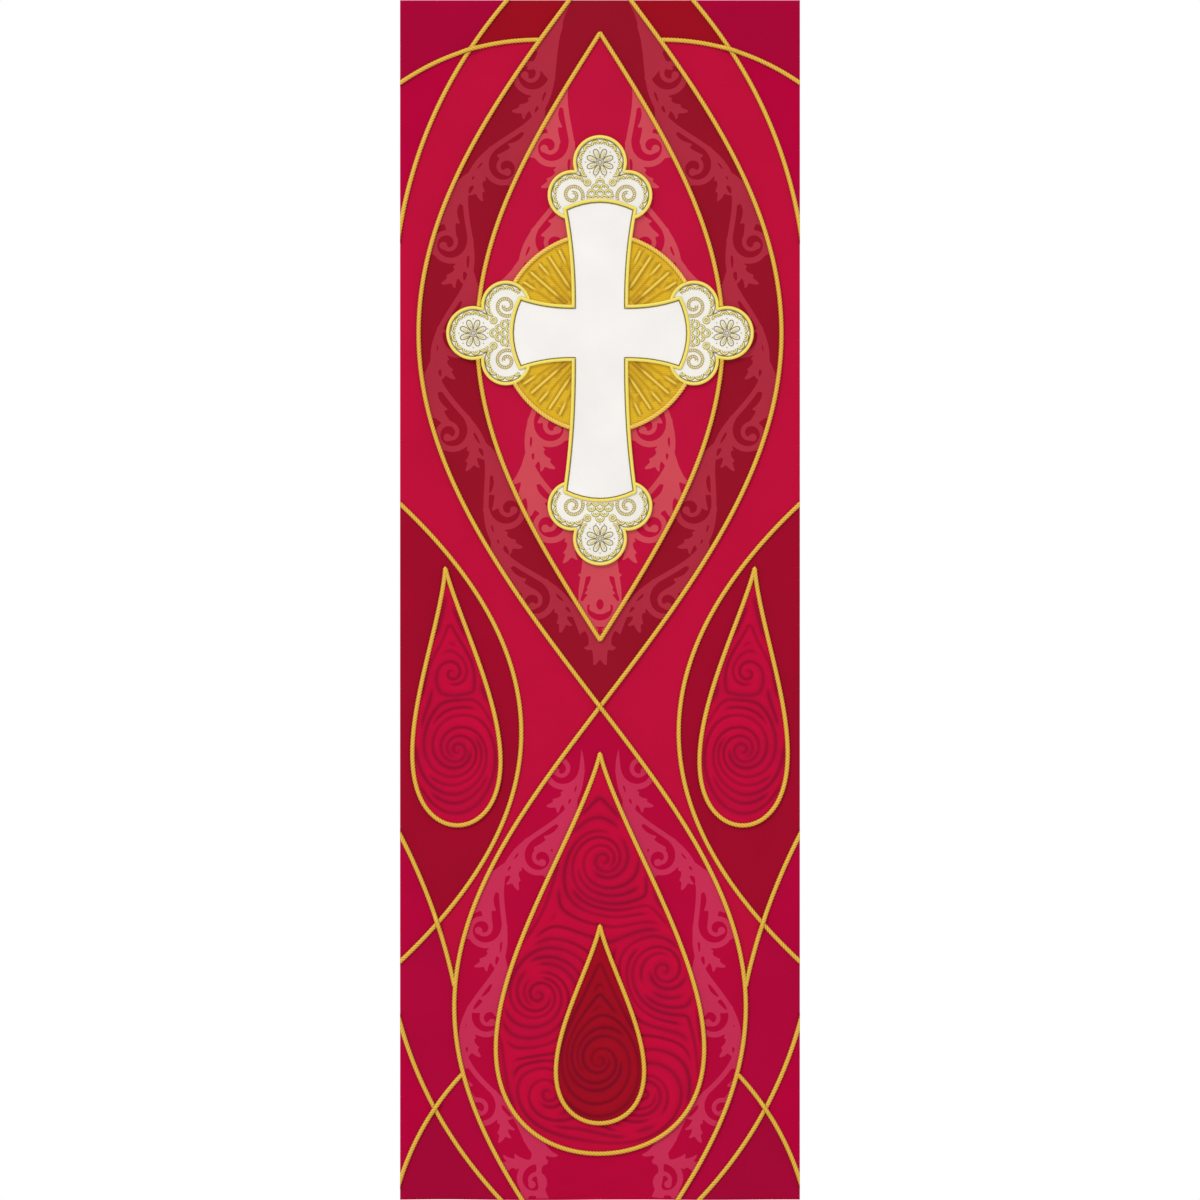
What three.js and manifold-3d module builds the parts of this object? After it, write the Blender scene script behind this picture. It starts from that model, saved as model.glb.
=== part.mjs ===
// Church banner: red cloths, a rayed gold disc and a white budded cross laid on a hemmed ground
// cloth, with gold cord couched along every edge. Millimetres, +Z up. It hangs from the middle of
// its top edge, which is the origin, and its face looks along -Y.
import * as THREE from "three";
import { mergeVertices } from "three/addons/utils/BufferGeometryUtils.js";
import Module from "manifold-3d";

const wasm = await Module();
wasm.setup();

// ---- Driving dimensions

const banner = { width: 600, height: 1800, hem: 30, cloth: 1.4 };

// How the cloth hangs: upright waves that start flat at the top edge and deepen to the bottom one.
const waves = { depth: 2.8, growth: 1.3, length: 262, drift: 0.9, slowShare: 0.45, slowLength: 415 };

// The cloths are cut along this grid, so that every layer bends at the same lines.
const columns = 20;
const rows = 9;

// Layers, as heights above the ground cloth's face.
const layer = {
  damask: { back: 0.3, front: 1.3 },
  panel: { back: 1.6, front: 2.6 },
  disc: { back: 2.9, front: 3.9 },
  cross: { back: 4.2, front: 5.4 },
  heart: { back: 4.2, front: 5.2 },
};

// The ogee chain: two mirrored strands that meet at nodes, with the same slope on both sides of one.
const ogee = { topNode: 60, waistNode: -1060, bottomNode: -1960, upperHalf: 272 };
const panel = { top: -50, bottom: -960, half: 184 };

const flames = {
  centre: { x: 0, top: -1130, bottom: -1730, half: 156, lean: 0, turns: 9, steps: 22 },
  heart: { x: 0, top: -1388, bottom: -1684, half: 66, lean: 0, turns: 4, steps: 16 },
  left: { x: -214, top: -852, bottom: -1238, half: 66, lean: -18, turns: 4, steps: 16 },
  right: { x: 214, top: -852, bottom: -1238, half: 66, lean: 18, turns: 4, steps: 16 },
};
const flameShape = { slim: 0.25, power: 0.55, widest: 0.745, focus: 0.66, spread: 0.5 };
const quilting = { crest: 1.1, flatRim: 4.5, rise: 8 };

const disc = { x: 0, z: -500, radius: 150, steps: 54, cordInset: 1.5 };
const rays = { count: 48, inner: 40, outer: 138, width: 5.4, rise: 1.2, sunk: 0.5 };

const cross = { x: 0, z: -500, neck: 40, flare: 53, flarePower: 2.2, bulge: 13 };
const arms = [
  { name: "right", x: 1, z: 0, length: 120 },
  { name: "bottom", x: 0, z: -1, length: 238 },
  { name: "left", x: -1, z: 0, length: 120 },
  { name: "top", x: 0, z: 1, length: 186 },
];
const bud = { seat: 12, core: 42, endOffset: 58, endLobe: 38, sideOffset: 42, sideLobe: 35, sideAngle: 1.36 };

// Gold cord, couched over the edges: its size, and how it rides over what lies under it.
const goldCord = { width: 6.6, height: 3.0 };
const paleCord = { width: 5.0, height: 2.4 };
const rest = { gap: 0.6, between: 0.3, ramp: 0.35, step: 2, tolerance: 0.6, closeness: 2, endRoom: 0.8 };
const edgeRoom = 0.5;

// How finely outlines are followed: points round one, and how far a cut may stray from it.
const outlineSteps = 240;
const cutTolerance = 0.4;

// Cords on the ground, right side: from, to, and how far the middle bows to the left of that way.
const groundCords = [
  { name: "shoulder", from: [306, -386], to: [132, 8], bow: -34, stops: [] },
  { name: "brow", from: [84, -60], to: [310, -132], bow: 20, stops: ["strand"] },
  { name: "bay", from: [308, -748], to: [308, -1450], bow: -190, stops: [] },
  { name: "hip", from: [306, -1240], to: [204, -1566], bow: -16, stops: ["strand"] },
  { name: "knee", from: [310, -1492], to: [142, -1806], bow: 26, stops: [] },
  { name: "foot", from: [196, -1600], to: [308, -1800], bow: 16, stops: ["strand"] },
];

const colours = {
  crimson: 0xbf0e3a, darkRed: 0x950d25, magenta: 0xb8003a, quilt: 0xc40a3a, darkQuilt: 0x9a0d24,
  white: 0xf6f2ef, lace: 0xf1ece2, disc: 0xd4a827, gold: 0xe0b73b, paleGold: 0xf2da68,
};

// ---- How the cloth hangs

function hang(x, z) {
  const drop = Math.max(0, -z / banner.height);
  const quick = Math.sin((2 * Math.PI * x) / waves.length + waves.drift * drop);
  const slow = Math.sin((2 * Math.PI * x) / waves.slowLength - waves.drift);
  return waves.depth * drop ** waves.growth * (quick + waves.slowShare * slow);
}

const columnLines = Array.from({ length: columns + 1 }, (_, i) => (i / columns - 0.5) * banner.width);
const betweenHems = banner.height - 2 * banner.hem;
const rowLines = [-banner.height];
for (let row = 0; row <= rows; row += 1) {
  rowLines.push(-banner.height + banner.hem + (betweenHems * row) / rows);
}
rowLines.push(0);

// ---- Plan geometry: points are [x, z] on the banner's face

function strandAt(side, z) {
  const upper = ogee.topNode - ogee.waistNode;
  const lower = ogee.waistNode - ogee.bottomNode;
  if (z > ogee.waistNode) {
    return -side * ogee.upperHalf * Math.sin((Math.PI * (ogee.topNode - z)) / upper);
  }
  const lowerHalf = (ogee.upperHalf * lower) / upper;
  return side * lowerHalf * Math.sin((Math.PI * (ogee.waistNode - z)) / lower);
}

function strandPath(side, top, bottom) {
  const count = Math.round((top - bottom) / rest.step);
  return Array.from({ length: count + 1 }, (_, i) => {
    const z = top + ((bottom - top) * i) / count;
    return [strandAt(side, z), z];
  });
}

// One turn runs from the panel's top tip down its right side to the foot, the next one back up.
function panelPath(fromTurn, toTurn) {
  const count = 2 * outlineSteps;
  return Array.from({ length: count + 1 }, (_, i) => {
    const turn = fromTurn + ((toTurn - fromTurn) * i) / count;
    const way = Math.abs(turn);
    const z = panel.top + (panel.bottom - panel.top) * (1 - Math.abs(1 - way));
    return [Math.sign(turn) * Math.sign(1 - way) * panel.half * Math.abs(Math.sin(Math.PI * way)), z];
  });
}

// Turns run from the flame's tip round its foot and back, with points spread evenly along its edge.
function flamePoint(flame, turn) {
  const along = Math.sin((turn + flameShape.spread * Math.sin(turn)) / 2) ** 2;
  const { slim, power, widest } = flameShape;
  const profile = (s) => s * (slim + (1 - slim) * s ** power) * Math.sqrt(1 - s);
  const side = turn <= Math.PI ? -1 : 1;
  const x = flame.x + (side * flame.half * profile(along)) / profile(widest) + flame.lean * (1 - along) ** 2;
  return [x, flame.top + (flame.bottom - flame.top) * along];
}

function flamePath(flame) {
  return Array.from({ length: outlineSteps }, (_, i) => flamePoint(flame, (2 * Math.PI * i) / outlineSteps));
}

function crossPath() {
  const points = [];
  const sideSteps = 12;
  const capSteps = 8;
  for (const arm of arms) {
    const place = (out, across) => [
      cross.x + arm.x * out - arm.z * across,
      cross.z + arm.z * out + arm.x * across,
    ];
    const halfAt = (t) => cross.neck + (cross.flare - cross.neck) * t ** cross.flarePower;
    const outAt = (t) => cross.neck + (arm.length - cross.neck) * t;
    for (let i = 0; i <= sideSteps; i += 1) {
      points.push(place(outAt(i / sideSteps), halfAt(i / sideSteps)));
    }
    for (let i = 1; i < capSteps; i += 1) {
      const across = 1 - (2 * i) / capSteps;
      points.push(place(arm.length + cross.bulge * (1 - across * across), cross.flare * across));
    }
    for (let i = sideSteps; i > 0; i -= 1) {
      points.push(place(outAt(i / sideSteps), -halfAt(i / sideSteps)));
    }
  }
  return points;
}

// A bud is three round lobes on a round core, seen from the middle of its core.
function budPath(arm) {
  const count = outlineSteps;
  const seat = arm.length + bud.seat;
  const lobes = [
    { angle: 0, offset: bud.endOffset, radius: bud.endLobe },
    { angle: bud.sideAngle, offset: bud.sideOffset, radius: bud.sideLobe },
    { angle: -bud.sideAngle, offset: bud.sideOffset, radius: bud.sideLobe },
  ];
  return Array.from({ length: count }, (_, i) => {
    const angle = (2 * Math.PI * (i + 0.5)) / count - Math.PI;
    let reach = bud.core;
    for (const lobe of lobes) {
      const inside = lobe.radius ** 2 - (lobe.offset * Math.sin(angle - lobe.angle)) ** 2;
      if (inside > 0) {
        reach = Math.max(reach, lobe.offset * Math.cos(angle - lobe.angle) + Math.sqrt(inside));
      }
    }
    const out = seat + reach * Math.cos(angle);
    const across = reach * Math.sin(angle);
    return [cross.x + arm.x * out - arm.z * across, cross.z + arm.z * out + arm.x * across];
  });
}

function circlePath(centre, radius, count, from = 0, to = 2 * Math.PI) {
  return Array.from({ length: count }, (_, i) => {
    const angle = from + ((to - from) * i) / count;
    return [centre.x + radius * Math.cos(angle), centre.z + radius * Math.sin(angle)];
  });
}

function bowedPath(cord, side) {
  const from = new THREE.Vector2(side * cord.from[0], cord.from[1]);
  const to = new THREE.Vector2(side * cord.to[0], cord.to[1]);
  const way = to.clone().sub(from);
  const leftwards = new THREE.Vector2(-way.y, way.x).normalize().multiplyScalar(2 * side * cord.bow);
  const middle = from.clone().add(to).multiplyScalar(0.5).add(leftwards);
  const count = Math.round(way.length() / rest.step);
  const curve = new THREE.QuadraticBezierCurve(from, middle, to);
  return curve.getSpacedPoints(count).map((point) => [point.x, point.y]);
}

function distanceToPath(path, closed, x, z) {
  let best = Infinity;
  const last = closed ? path.length : path.length - 1;
  for (let i = 0; i < last; i += 1) {
    const [ax, az] = path[i];
    const [bx, bz] = path[(i + 1) % path.length];
    const length2 = (bx - ax) ** 2 + (bz - az) ** 2;
    const t = length2 === 0 ? 0 : ((x - ax) * (bx - ax) + (z - az) * (bz - az)) / length2;
    const clamped = Math.min(1, Math.max(0, t));
    best = Math.min(best, Math.hypot(x - ax - clamped * (bx - ax), z - az - clamped * (bz - az)));
  }
  return best;
}

function isInside(outline, x, z) {
  let inside = false;
  for (let i = 0; i < outline.length; i += 1) {
    const [ax, az] = outline[i];
    const [bx, bz] = outline[(i + 1) % outline.length];
    if (az > z !== bz > z && x < ax + ((z - az) * (bx - ax)) / (bz - az)) {
      inside = !inside;
    }
  }
  return inside;
}

function isClearOf(outline, x, z, room) {
  return !isInside(outline, x, z) && distanceToPath(outline, true, x, z) > room;
}

// Fewest points of a route that stay within the tolerance of it.
function thin(points, tolerance) {
  const from = points[0];
  const to = points[points.length - 1];
  const span = to.map((value, axis) => value - from[axis]);
  const length2 = span.reduce((sum, value) => sum + value * value, 0);
  let worst = 0;
  let split = 0;
  for (let i = 1; i < points.length - 1; i += 1) {
    const offset = points[i].map((value, axis) => value - from[axis]);
    const dot = offset.reduce((sum, value, axis) => sum + value * span[axis], 0);
    const t = length2 === 0 ? 0 : Math.min(1, Math.max(0, dot / length2));
    const miss = Math.hypot(...offset.map((value, axis) => value - t * span[axis]));
    if (miss > worst) {
      worst = miss;
      split = i;
    }
  }
  if (worst <= tolerance) {
    return [from, to];
  }
  const first = thin(points.slice(0, split + 1), tolerance);
  return [...first.slice(0, -1), ...thin(points.slice(split), tolerance)];
}

function thinOutline(outline, tolerance) {
  const half = Math.floor(outline.length / 2);
  const first = thin(outline.slice(0, half + 1), tolerance);
  const second = thin([...outline.slice(half), outline[0]], tolerance);
  return [...first.slice(0, -1), ...second.slice(0, -1)];
}

// ---- Solids

function toSolid(geometry) {
  const bare = geometry.clone();
  bare.deleteAttribute("normal");
  bare.deleteAttribute("uv");
  const merged = mergeVertices(bare, 1e-4);
  return new wasm.Manifold(new wasm.Mesh({
    numProp: 3,
    vertProperties: new Float32Array(merged.attributes.position.array),
    triVerts: new Uint32Array(merged.index.array),
  }));
}

function toGeometry(solid) {
  const mesh = solid.getMesh();
  return bufferOf(mesh.vertProperties, mesh.triVerts);
}

function bufferOf(positions, triangles) {
  const geometry = new THREE.BufferGeometry();
  geometry.setAttribute("position", new THREE.BufferAttribute(new Float32Array(positions), 3));
  geometry.setIndex(new THREE.BufferAttribute(new Uint32Array(triangles), 1));
  geometry.computeVertexNormals();
  return geometry;
}

// How far cutters and flat backs reach past the cloths, front and back.
const farReach = 40;

// The whole banner's area between two heights above the ground cloth's face, hanging as it does.
function slab(backHeight, frontHeight) {
  const rowCount = rowLines.length - 1;
  const geometry = new THREE.BoxGeometry(columns, 1, rowCount, columns, 1, rowCount);
  const position = geometry.attributes.position;
  for (let i = 0; i < position.count; i += 1) {
    const x = columnLines[Math.round(position.getX(i) + columns / 2)];
    const z = rowLines[Math.round(position.getZ(i) + rowCount / 2)];
    const height = position.getY(i) < 0 ? frontHeight : backHeight;
    position.setXYZ(i, x, hang(x, z) - height, z);
  }
  return toSolid(geometry);
}

// A straight cutter right through the banner, with the outline as its section.
function cutter(outline) {
  const shape = new THREE.Shape(outline.map(([x, z]) => new THREE.Vector2(x, z)));
  const geometry = new THREE.ExtrudeGeometry(shape, { depth: 2 * farReach, bevelEnabled: false });
  geometry.rotateX(Math.PI / 2);
  geometry.translate(0, farReach, 0);
  return toSolid(geometry);
}

function sheet(outline, { back, front }) {
  return slab(back, front).intersect(cutter(outline));
}

function groundCloth() {
  const inner = banner.width / 2 - banner.hem;
  const top = -banner.hem;
  const bottom = -banner.height + banner.hem;
  const pocket = [[-inner, bottom], [inner, bottom], [inner, top], [-inner, top]];
  const turned = slab(-2 * banner.cloth, 0);
  return turned.subtract(slab(-3 * banner.cloth, -banner.cloth).intersect(cutter(pocket)));
}

// A body with the given front surface and a flat back far behind it.
function bodyBehind(front, triangles) {
  const count = front.length;
  const positions = [...front.flat(), ...front.flatMap(([x, , z]) => [x, farReach, z])];
  const faces = [];
  const edges = new Set();
  for (const [a, b, c] of triangles) {
    faces.push(a, b, c, a + count, c + count, b + count);
    for (const [from, to] of [[a, b], [b, c], [c, a]]) {
      edges.add(`${from} ${to}`);
    }
  }
  for (const edge of edges) {
    const [from, to] = edge.split(" ").map(Number);
    if (!edges.has(`${to} ${from}`)) {
      faces.push(to, from, from + count, to, from + count, to + count);
    }
  }
  return toSolid(bufferOf(positions, faces));
}

// Echo quilting: one ridge winds from the flame's focus out to its rim, flat again at the rim itself.
function quiltedFlame(flame, { back, front }) {
  const { turns, steps } = flame;
  const focusZ = flame.top + (flame.bottom - flame.top) * flameShape.focus;
  const last = Math.ceil((turns + 1.5) * steps);
  const outline = flamePath(flame);
  const place = (index, share, isCrest) => {
    const [rimX, rimZ] = flamePoint(flame, ((2 * Math.PI * index) / steps) % (2 * Math.PI));
    const x = flame.x + share * (rimX - flame.x);
    const z = focusZ + share * (rimZ - focusZ);
    const room = isInside(outline, x, z) ? distanceToPath(outline, true, x, z) : 0;
    const swell = isCrest ? Math.min(1, Math.max(0, (room - quilting.flatRim) / quilting.rise)) : 0;
    return [x, hang(x, z) - front - swell * quilting.crest, z];
  };
  const points = [];
  for (let i = 0; i <= last; i += 1) {
    const share = i / (steps * turns);
    points.push(place(i, share, true), place(i, share + 0.5 / turns, false));
  }
  const crest = (i) => 2 * i;
  const valley = (i) => 2 * i + 1;
  const triangles = [];
  for (let i = 1; i < steps; i += 1) {
    triangles.push([crest(0), crest(i), crest(i + 1)]);
  }
  triangles.push([crest(0), crest(steps), valley(0)]);
  for (let i = 0; i < last; i += 1) {
    triangles.push([crest(i), valley(i), valley(i + 1)], [crest(i), valley(i + 1), crest(i + 1)]);
    if (i + steps < last) {
      const [near, far] = [crest(i + steps), crest(i + steps + 1)];
      triangles.push([valley(i), near, far], [valley(i), far, valley(i + 1)]);
    }
  }
  const surface = bodyBehind(points, triangles);
  const over = slab(back, front + 2 * quilting.crest);
  return surface.intersect(over).intersect(cutter(thinOutline(outline, cutTolerance)));
}

// One raised ray of the disc, a low ridge that runs out from its middle.
function ray(angle, from, to) {
  const { front } = layer.disc;
  const [outX, outZ] = [Math.cos(angle), Math.sin(angle)];
  const half = rays.width / 2;
  const section = [[-half, -rays.sunk], [half, -rays.sunk], [0, rays.rise]];
  const positions = [from, to].flatMap((reach) => section.flatMap(([across, rise]) => {
    const x = disc.x + outX * reach - outZ * across;
    const z = disc.z + outZ * reach + outX * across;
    return [x, hang(x, z) - front - rise, z];
  }));
  return toSolid(bufferOf(positions, sweptFaces(2, section.length, false)));
}

// Faces of a sweep: rings of points joined one to the next, closed in a loop or capped.
function sweptFaces(rings, sides, closed) {
  const faces = [];
  const last = closed ? rings : rings - 1;
  for (let ring = 0; ring < last; ring += 1) {
    const next = (ring + 1) % rings;
    for (let side = 0; side < sides; side += 1) {
      const other = (side + 1) % sides;
      const [a, b] = [ring * sides + side, ring * sides + other];
      const [c, d] = [next * sides + other, next * sides + side];
      faces.push(a, b, c, a, c, d);
    }
  }
  if (!closed) {
    const end = (rings - 1) * sides;
    for (let side = 1; side < sides - 1; side += 1) {
      faces.push(0, side + 1, side, end, end + side, end + side + 1);
    }
  }
  return faces;
}

// ---- The cloths

const group = new THREE.Group();
const clothTops = [];

function add(name, geometry, colour, roughness = 0.85, metalness = 0) {
  const material = new THREE.MeshStandardMaterial({ color: colour, roughness, metalness });
  const mesh = new THREE.Mesh(geometry, material);
  mesh.name = name;
  group.add(mesh);
}

function addCloth(name, solid, outline, { front }, colour) {
  add(name, toGeometry(solid), colour);
  clothTops.push({ outline, front });
}

add("ground_cloth", toGeometry(groundCloth()), colours.crimson);

function ogeeOutline(top, bottom) {
  const right = strandPath(1, top, bottom).map(([x, z]) => [Math.abs(x), z]);
  const left = right.map(([x, z]) => [-x, z]).reverse();
  return [...thin(right, cutTolerance), ...thin(left, cutTolerance)];
}

const edgeInset = 1;
const tipInset = 6;
const damaskUpper = ogeeOutline(-edgeInset, ogee.waistNode + tipInset);
const damaskLower = ogeeOutline(ogee.waistNode - tipInset, -banner.height + edgeInset);
addCloth("damask_upper", sheet(damaskUpper, layer.damask), damaskUpper, layer.damask, colours.darkRed);
addCloth("damask_lower", sheet(damaskLower, layer.damask), damaskLower, layer.damask, colours.magenta);

const panelOutline = thinOutline(panelPath(0, 2).slice(0, -1), cutTolerance);
addCloth("centre_panel", sheet(panelOutline, layer.panel), panelOutline, layer.panel, colours.crimson);

const flameLayers = { centre: layer.panel, heart: layer.heart, left: layer.damask, right: layer.damask };
for (const [name, flame] of Object.entries(flames)) {
  const solid = quiltedFlame(flame, flameLayers[name]);
  const colour = name === "heart" ? colours.darkQuilt : colours.quilt;
  addCloth(`flame_${name}`, solid, flamePath(flame), flameLayers[name], colour);
}

const crossOutline = crossPath();
const budOutlines = arms.map((arm) => budPath(arm));
const whiteOutlines = [crossOutline, ...budOutlines];

const discOutline = circlePath(disc, disc.radius, disc.steps);

function rayedDisc() {
  let solid = sheet(discOutline, layer.disc);
  for (let i = 0; i < rays.count; i += 1) {
    const angle = (2 * Math.PI * (i + 0.5)) / rays.count;
    const reaches = [];
    for (let reach = rays.inner; reach <= rays.outer; reach += 1) {
      const [x, z] = [disc.x + reach * Math.cos(angle), disc.z + reach * Math.sin(angle)];
      if (whiteOutlines.every((outline) => isClearOf(outline, x, z, rays.width / 2 + rest.between))) {
        reaches.push(reach);
      }
    }
    if (reaches.length > 3 * rays.width) {
      solid = solid.add(ray(angle, reaches[0], reaches[reaches.length - 1]));
    }
  }
  return solid;
}

addCloth("disc", rayedDisc(), discOutline, layer.disc, colours.disc);
const crossBody = sheet(thinOutline(crossOutline, cutTolerance), layer.cross);
addCloth("cross_body", crossBody, crossOutline, layer.cross, colours.white);

// The cross's outline grown by the gap between pieces, to cut the buds back from it.
function grown(outline, room) {
  return outline.map(([x, z], i) => {
    const [ax, az] = outline[(i + outline.length - 1) % outline.length];
    const [bx, bz] = outline[(i + 1) % outline.length];
    const before = new THREE.Vector2(x - ax, z - az).normalize();
    const after = new THREE.Vector2(bx - x, bz - z).normalize();
    const normal = before.clone().add(after).normalize();
    const stretch = room / Math.max(0.3, normal.dot(before));
    return [x - normal.y * stretch, z + normal.x * stretch];
  });
}

const budRoom = cutter(grown(crossOutline, rest.between));
arms.forEach((arm, i) => {
  const solid = sheet(thinOutline(budOutlines[i], cutTolerance), layer.cross).subtract(budRoom);
  addCloth(`cross_end_${arm.name}`, solid, budOutlines[i], layer.cross, colours.lace);
});

// ---- The cords

const cordsLaid = new Map();

// The height that a cord's underside needs at a point, over the cloths and the cords laid before.
function supportAt(x, z, width, stops) {
  const half = width / 2 + rest.between;
  let height = rest.gap;
  for (const { outline, front } of clothTops) {
    if (isInside(outline, x, z) || distanceToPath(outline, true, x, z) < half) {
      height = Math.max(height, front + rest.gap);
    }
  }
  for (const [name, cord] of cordsLaid) {
    if (!stops.includes(name)) {
      for (const [cx, cz, top] of cord.tops) {
        if (Math.hypot(x - cx, z - cz) < half + cord.width / 2 + rest.step / 2) {
          height = Math.max(height, top + rest.between);
        }
      }
    }
  }
  return height;
}

// The middle stretch of a route whose end corners stay clear of the stops and of the banner's edge.
function clearRun(route, width, stops, outlines) {
  const room = rest.between + rest.endRoom;
  const isClear = (i) => {
    const [x, z] = route[i];
    const [ax, az] = route[Math.max(0, i - 1)];
    const [bx, bz] = route[Math.min(route.length - 1, i + 1)];
    const length = Math.hypot(bx - ax, bz - az);
    const [acrossX, acrossZ] = [(-(bz - az) / length) * (width / 2), ((bx - ax) / length) * (width / 2)];
    return [-1, 0, 1].every((side) => {
      const [px, pz] = [x + side * acrossX, z + side * acrossZ];
      const isOnWidth = Math.abs(px) < banner.width / 2 - edgeRoom;
      const isOnHeight = pz < -edgeRoom && pz > edgeRoom - banner.height;
      const isClearOfCords = stops.every((name) => {
        const cord = cordsLaid.get(name);
        return distanceToPath(cord.route, cord.closed, px, pz) > cord.width / 2 + room;
      });
      const isClearOfCloths = outlines.every((outline) => isClearOf(outline, px, pz, room));
      return isOnWidth && isOnHeight && isClearOfCords && isClearOfCloths;
    });
  };
  const middle = Math.floor(route.length / 2);
  let [first, last] = [middle, middle];
  while (first > 0 && isClear(first - 1)) {
    first -= 1;
  }
  while (last < route.length - 1 && isClear(last + 1)) {
    last += 1;
  }
  return route.slice(first, last + 1);
}

function addCord(name, fullRoute, options = {}) {
  const { kind = goldCord, closed = false, stops = [], outlines = [], colour = colours.gold } = options;
  const { width, height } = kind;
  const route = closed ? fullRoute : clearRun(fullRoute, width, stops, outlines);
  const lengths = route.map(([x, z], i) => {
    const [previousX, previousZ] = route[Math.max(0, i - 1)];
    return Math.hypot(x - previousX, z - previousZ);
  });
  const needs = route.map(([x, z]) => supportAt(x, z, width, stops));
  const heights = [...needs];
  for (let pass = 0; pass < (closed ? 2 : 1); pass += 1) {
    for (let i = 1; i < route.length; i += 1) {
      heights[i] = Math.max(heights[i], heights[i - 1] - rest.ramp * lengths[i]);
    }
    for (let i = route.length - 2; i >= 0; i -= 1) {
      heights[i] = Math.max(heights[i], heights[i + 1] - rest.ramp * lengths[i + 1]);
    }
    if (closed) {
      heights[0] = Math.max(heights[0], heights[heights.length - 1]);
      heights[heights.length - 1] = heights[0];
    }
  }
  cordsLaid.set(name, { route, closed, width, tops: route.map(([x, z], i) => [x, z, heights[i] + height]) });
  // Heights count for more than the plan when the route is thinned, so that it keeps to the cloth.
  const full = route.map(([x, z], i) => [x, rest.closeness * (hang(x, z) - heights[i]), z]);
  const kept = closed ? thinOutline(full, rest.tolerance) : thin(full, rest.tolerance);
  const centres = kept.map(([x, y, z]) => new THREE.Vector3(x, y / rest.closeness, z));
  add(name, sweptCord(centres, width, height, closed), colour, 0.4, 0.6);
}

// A low domed section swept along the route, mitred where the route turns.
function sweptCord(centres, width, height, closed) {
  const section = [[-0.42, 0], [0.42, 0], [0.5, 0.45], [0, 1], [-0.5, 0.45]];
  const count = centres.length;
  const positions = centres.flatMap((centre, i) => {
    const previous = centres[closed ? (i + count - 1) % count : Math.max(0, i - 1)];
    const next = centres[closed ? (i + 1) % count : Math.min(count - 1, i + 1)];
    const before = new THREE.Vector2(centre.x - previous.x, centre.z - previous.z).normalize();
    const after = new THREE.Vector2(next.x - centre.x, next.z - centre.z).normalize();
    const along = before.clone().add(after).normalize();
    const stretch = 1 / Math.max(0.25, along.dot(before.length() > 0 ? before : after));
    return section.flatMap(([across, rise]) => [
      centre.x - along.y * across * width * stretch,
      centre.y - rise * height,
      centre.z + along.x * across * width * stretch,
    ]);
  });
  return bufferOf(positions, sweptFaces(count, section.length, closed));
}

const sides = { left: -1, right: 1 };
addCord("strand_left", strandPath(-1, 0, -banner.height));
addCord("strand_right", strandPath(1, 0, -banner.height));
for (const [sideName, side] of Object.entries(sides)) {
  addCord(`flame_cord_${sideName}`, flamePath(flames[sideName]), { closed: true });
  for (const cord of groundCords) {
    const stops = cord.stops.flatMap((stop) => [`${stop}_left`, `${stop}_right`]);
    addCord(`ground_cord_${cord.name}_${sideName}`, bowedPath(cord, side), { stops });
  }
}
addCord("flame_cord_centre", flamePath(flames.centre), { closed: true });
addCord("flame_cord_heart", flamePath(flames.heart), { closed: true });
addCord("panel_cord_upper", panelPath(-0.5, 0.5), { outlines: budOutlines });
addCord("panel_cord_lower", panelPath(0.5, 1.5), { outlines: budOutlines });
addCord("cross_cord", crossOutline, { kind: paleCord, closed: true, colour: colours.paleGold });
arms.forEach((arm, i) => {
  addCord(`cross_end_cord_${arm.name}`, budOutlines[i], {
    kind: paleCord, stops: ["cross_cord"], outlines: [crossOutline], colour: colours.paleGold,
  });
});
arms.forEach((arm, i) => {
  const from = Math.atan2(arm.z, arm.x);
  const route = circlePath(disc, disc.radius - disc.cordInset, outlineSteps / 2, from, from + Math.PI / 2);
  addCord(`disc_cord_${i + 1}`, route, { outlines: whiteOutlines });
});

export default group;
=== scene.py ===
# Church banner: damask, quilted and plain cloths on a hemmed ground, couched gold cords,
# and a white cross with lace ends on a rayed gold disc. Plan sizes are millimetres.
import math

import bpy
import numpy as np
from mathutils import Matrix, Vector
from mathutils.geometry import delaunay_2d_cdt
from mathutils.kdtree import KDTree


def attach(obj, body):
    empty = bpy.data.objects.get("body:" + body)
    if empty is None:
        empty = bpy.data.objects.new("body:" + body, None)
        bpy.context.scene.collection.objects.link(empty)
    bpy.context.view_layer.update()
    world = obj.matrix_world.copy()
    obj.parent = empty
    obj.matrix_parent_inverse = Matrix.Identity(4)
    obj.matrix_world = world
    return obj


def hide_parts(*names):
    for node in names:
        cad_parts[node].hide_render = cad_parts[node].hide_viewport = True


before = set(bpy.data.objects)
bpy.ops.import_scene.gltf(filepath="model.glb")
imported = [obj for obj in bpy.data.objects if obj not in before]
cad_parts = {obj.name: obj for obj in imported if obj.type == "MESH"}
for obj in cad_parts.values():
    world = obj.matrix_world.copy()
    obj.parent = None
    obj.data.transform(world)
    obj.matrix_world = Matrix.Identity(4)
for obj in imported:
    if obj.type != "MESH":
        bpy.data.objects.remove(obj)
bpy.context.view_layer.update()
bpy.ops.object.select_all(action="DESELECT")

studio = {
    "lens": 100.0, "distance": 5.0, "middle": -0.9,
    "keyPlace": (-1.5, -2, 1), "keyStrength": 1.1, "keyTilt": 50, "keyTurn": -38, "keySoftness": 14,
    "floorDrop": -2.1, "floorRadius": 1.4, "floorSides": 96, "floorColour": "ECEAE6",
}

cameraPlace = (0, -studio["distance"], studio["middle"])
bpy.ops.object.camera_add(location=cameraPlace, rotation=(math.radians(90), 0, 0))
camera = bpy.context.object
camera.data.lens = studio["lens"]
bpy.context.scene.camera = camera
bpy.context.scene.view_settings.view_transform = "Standard"

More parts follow.
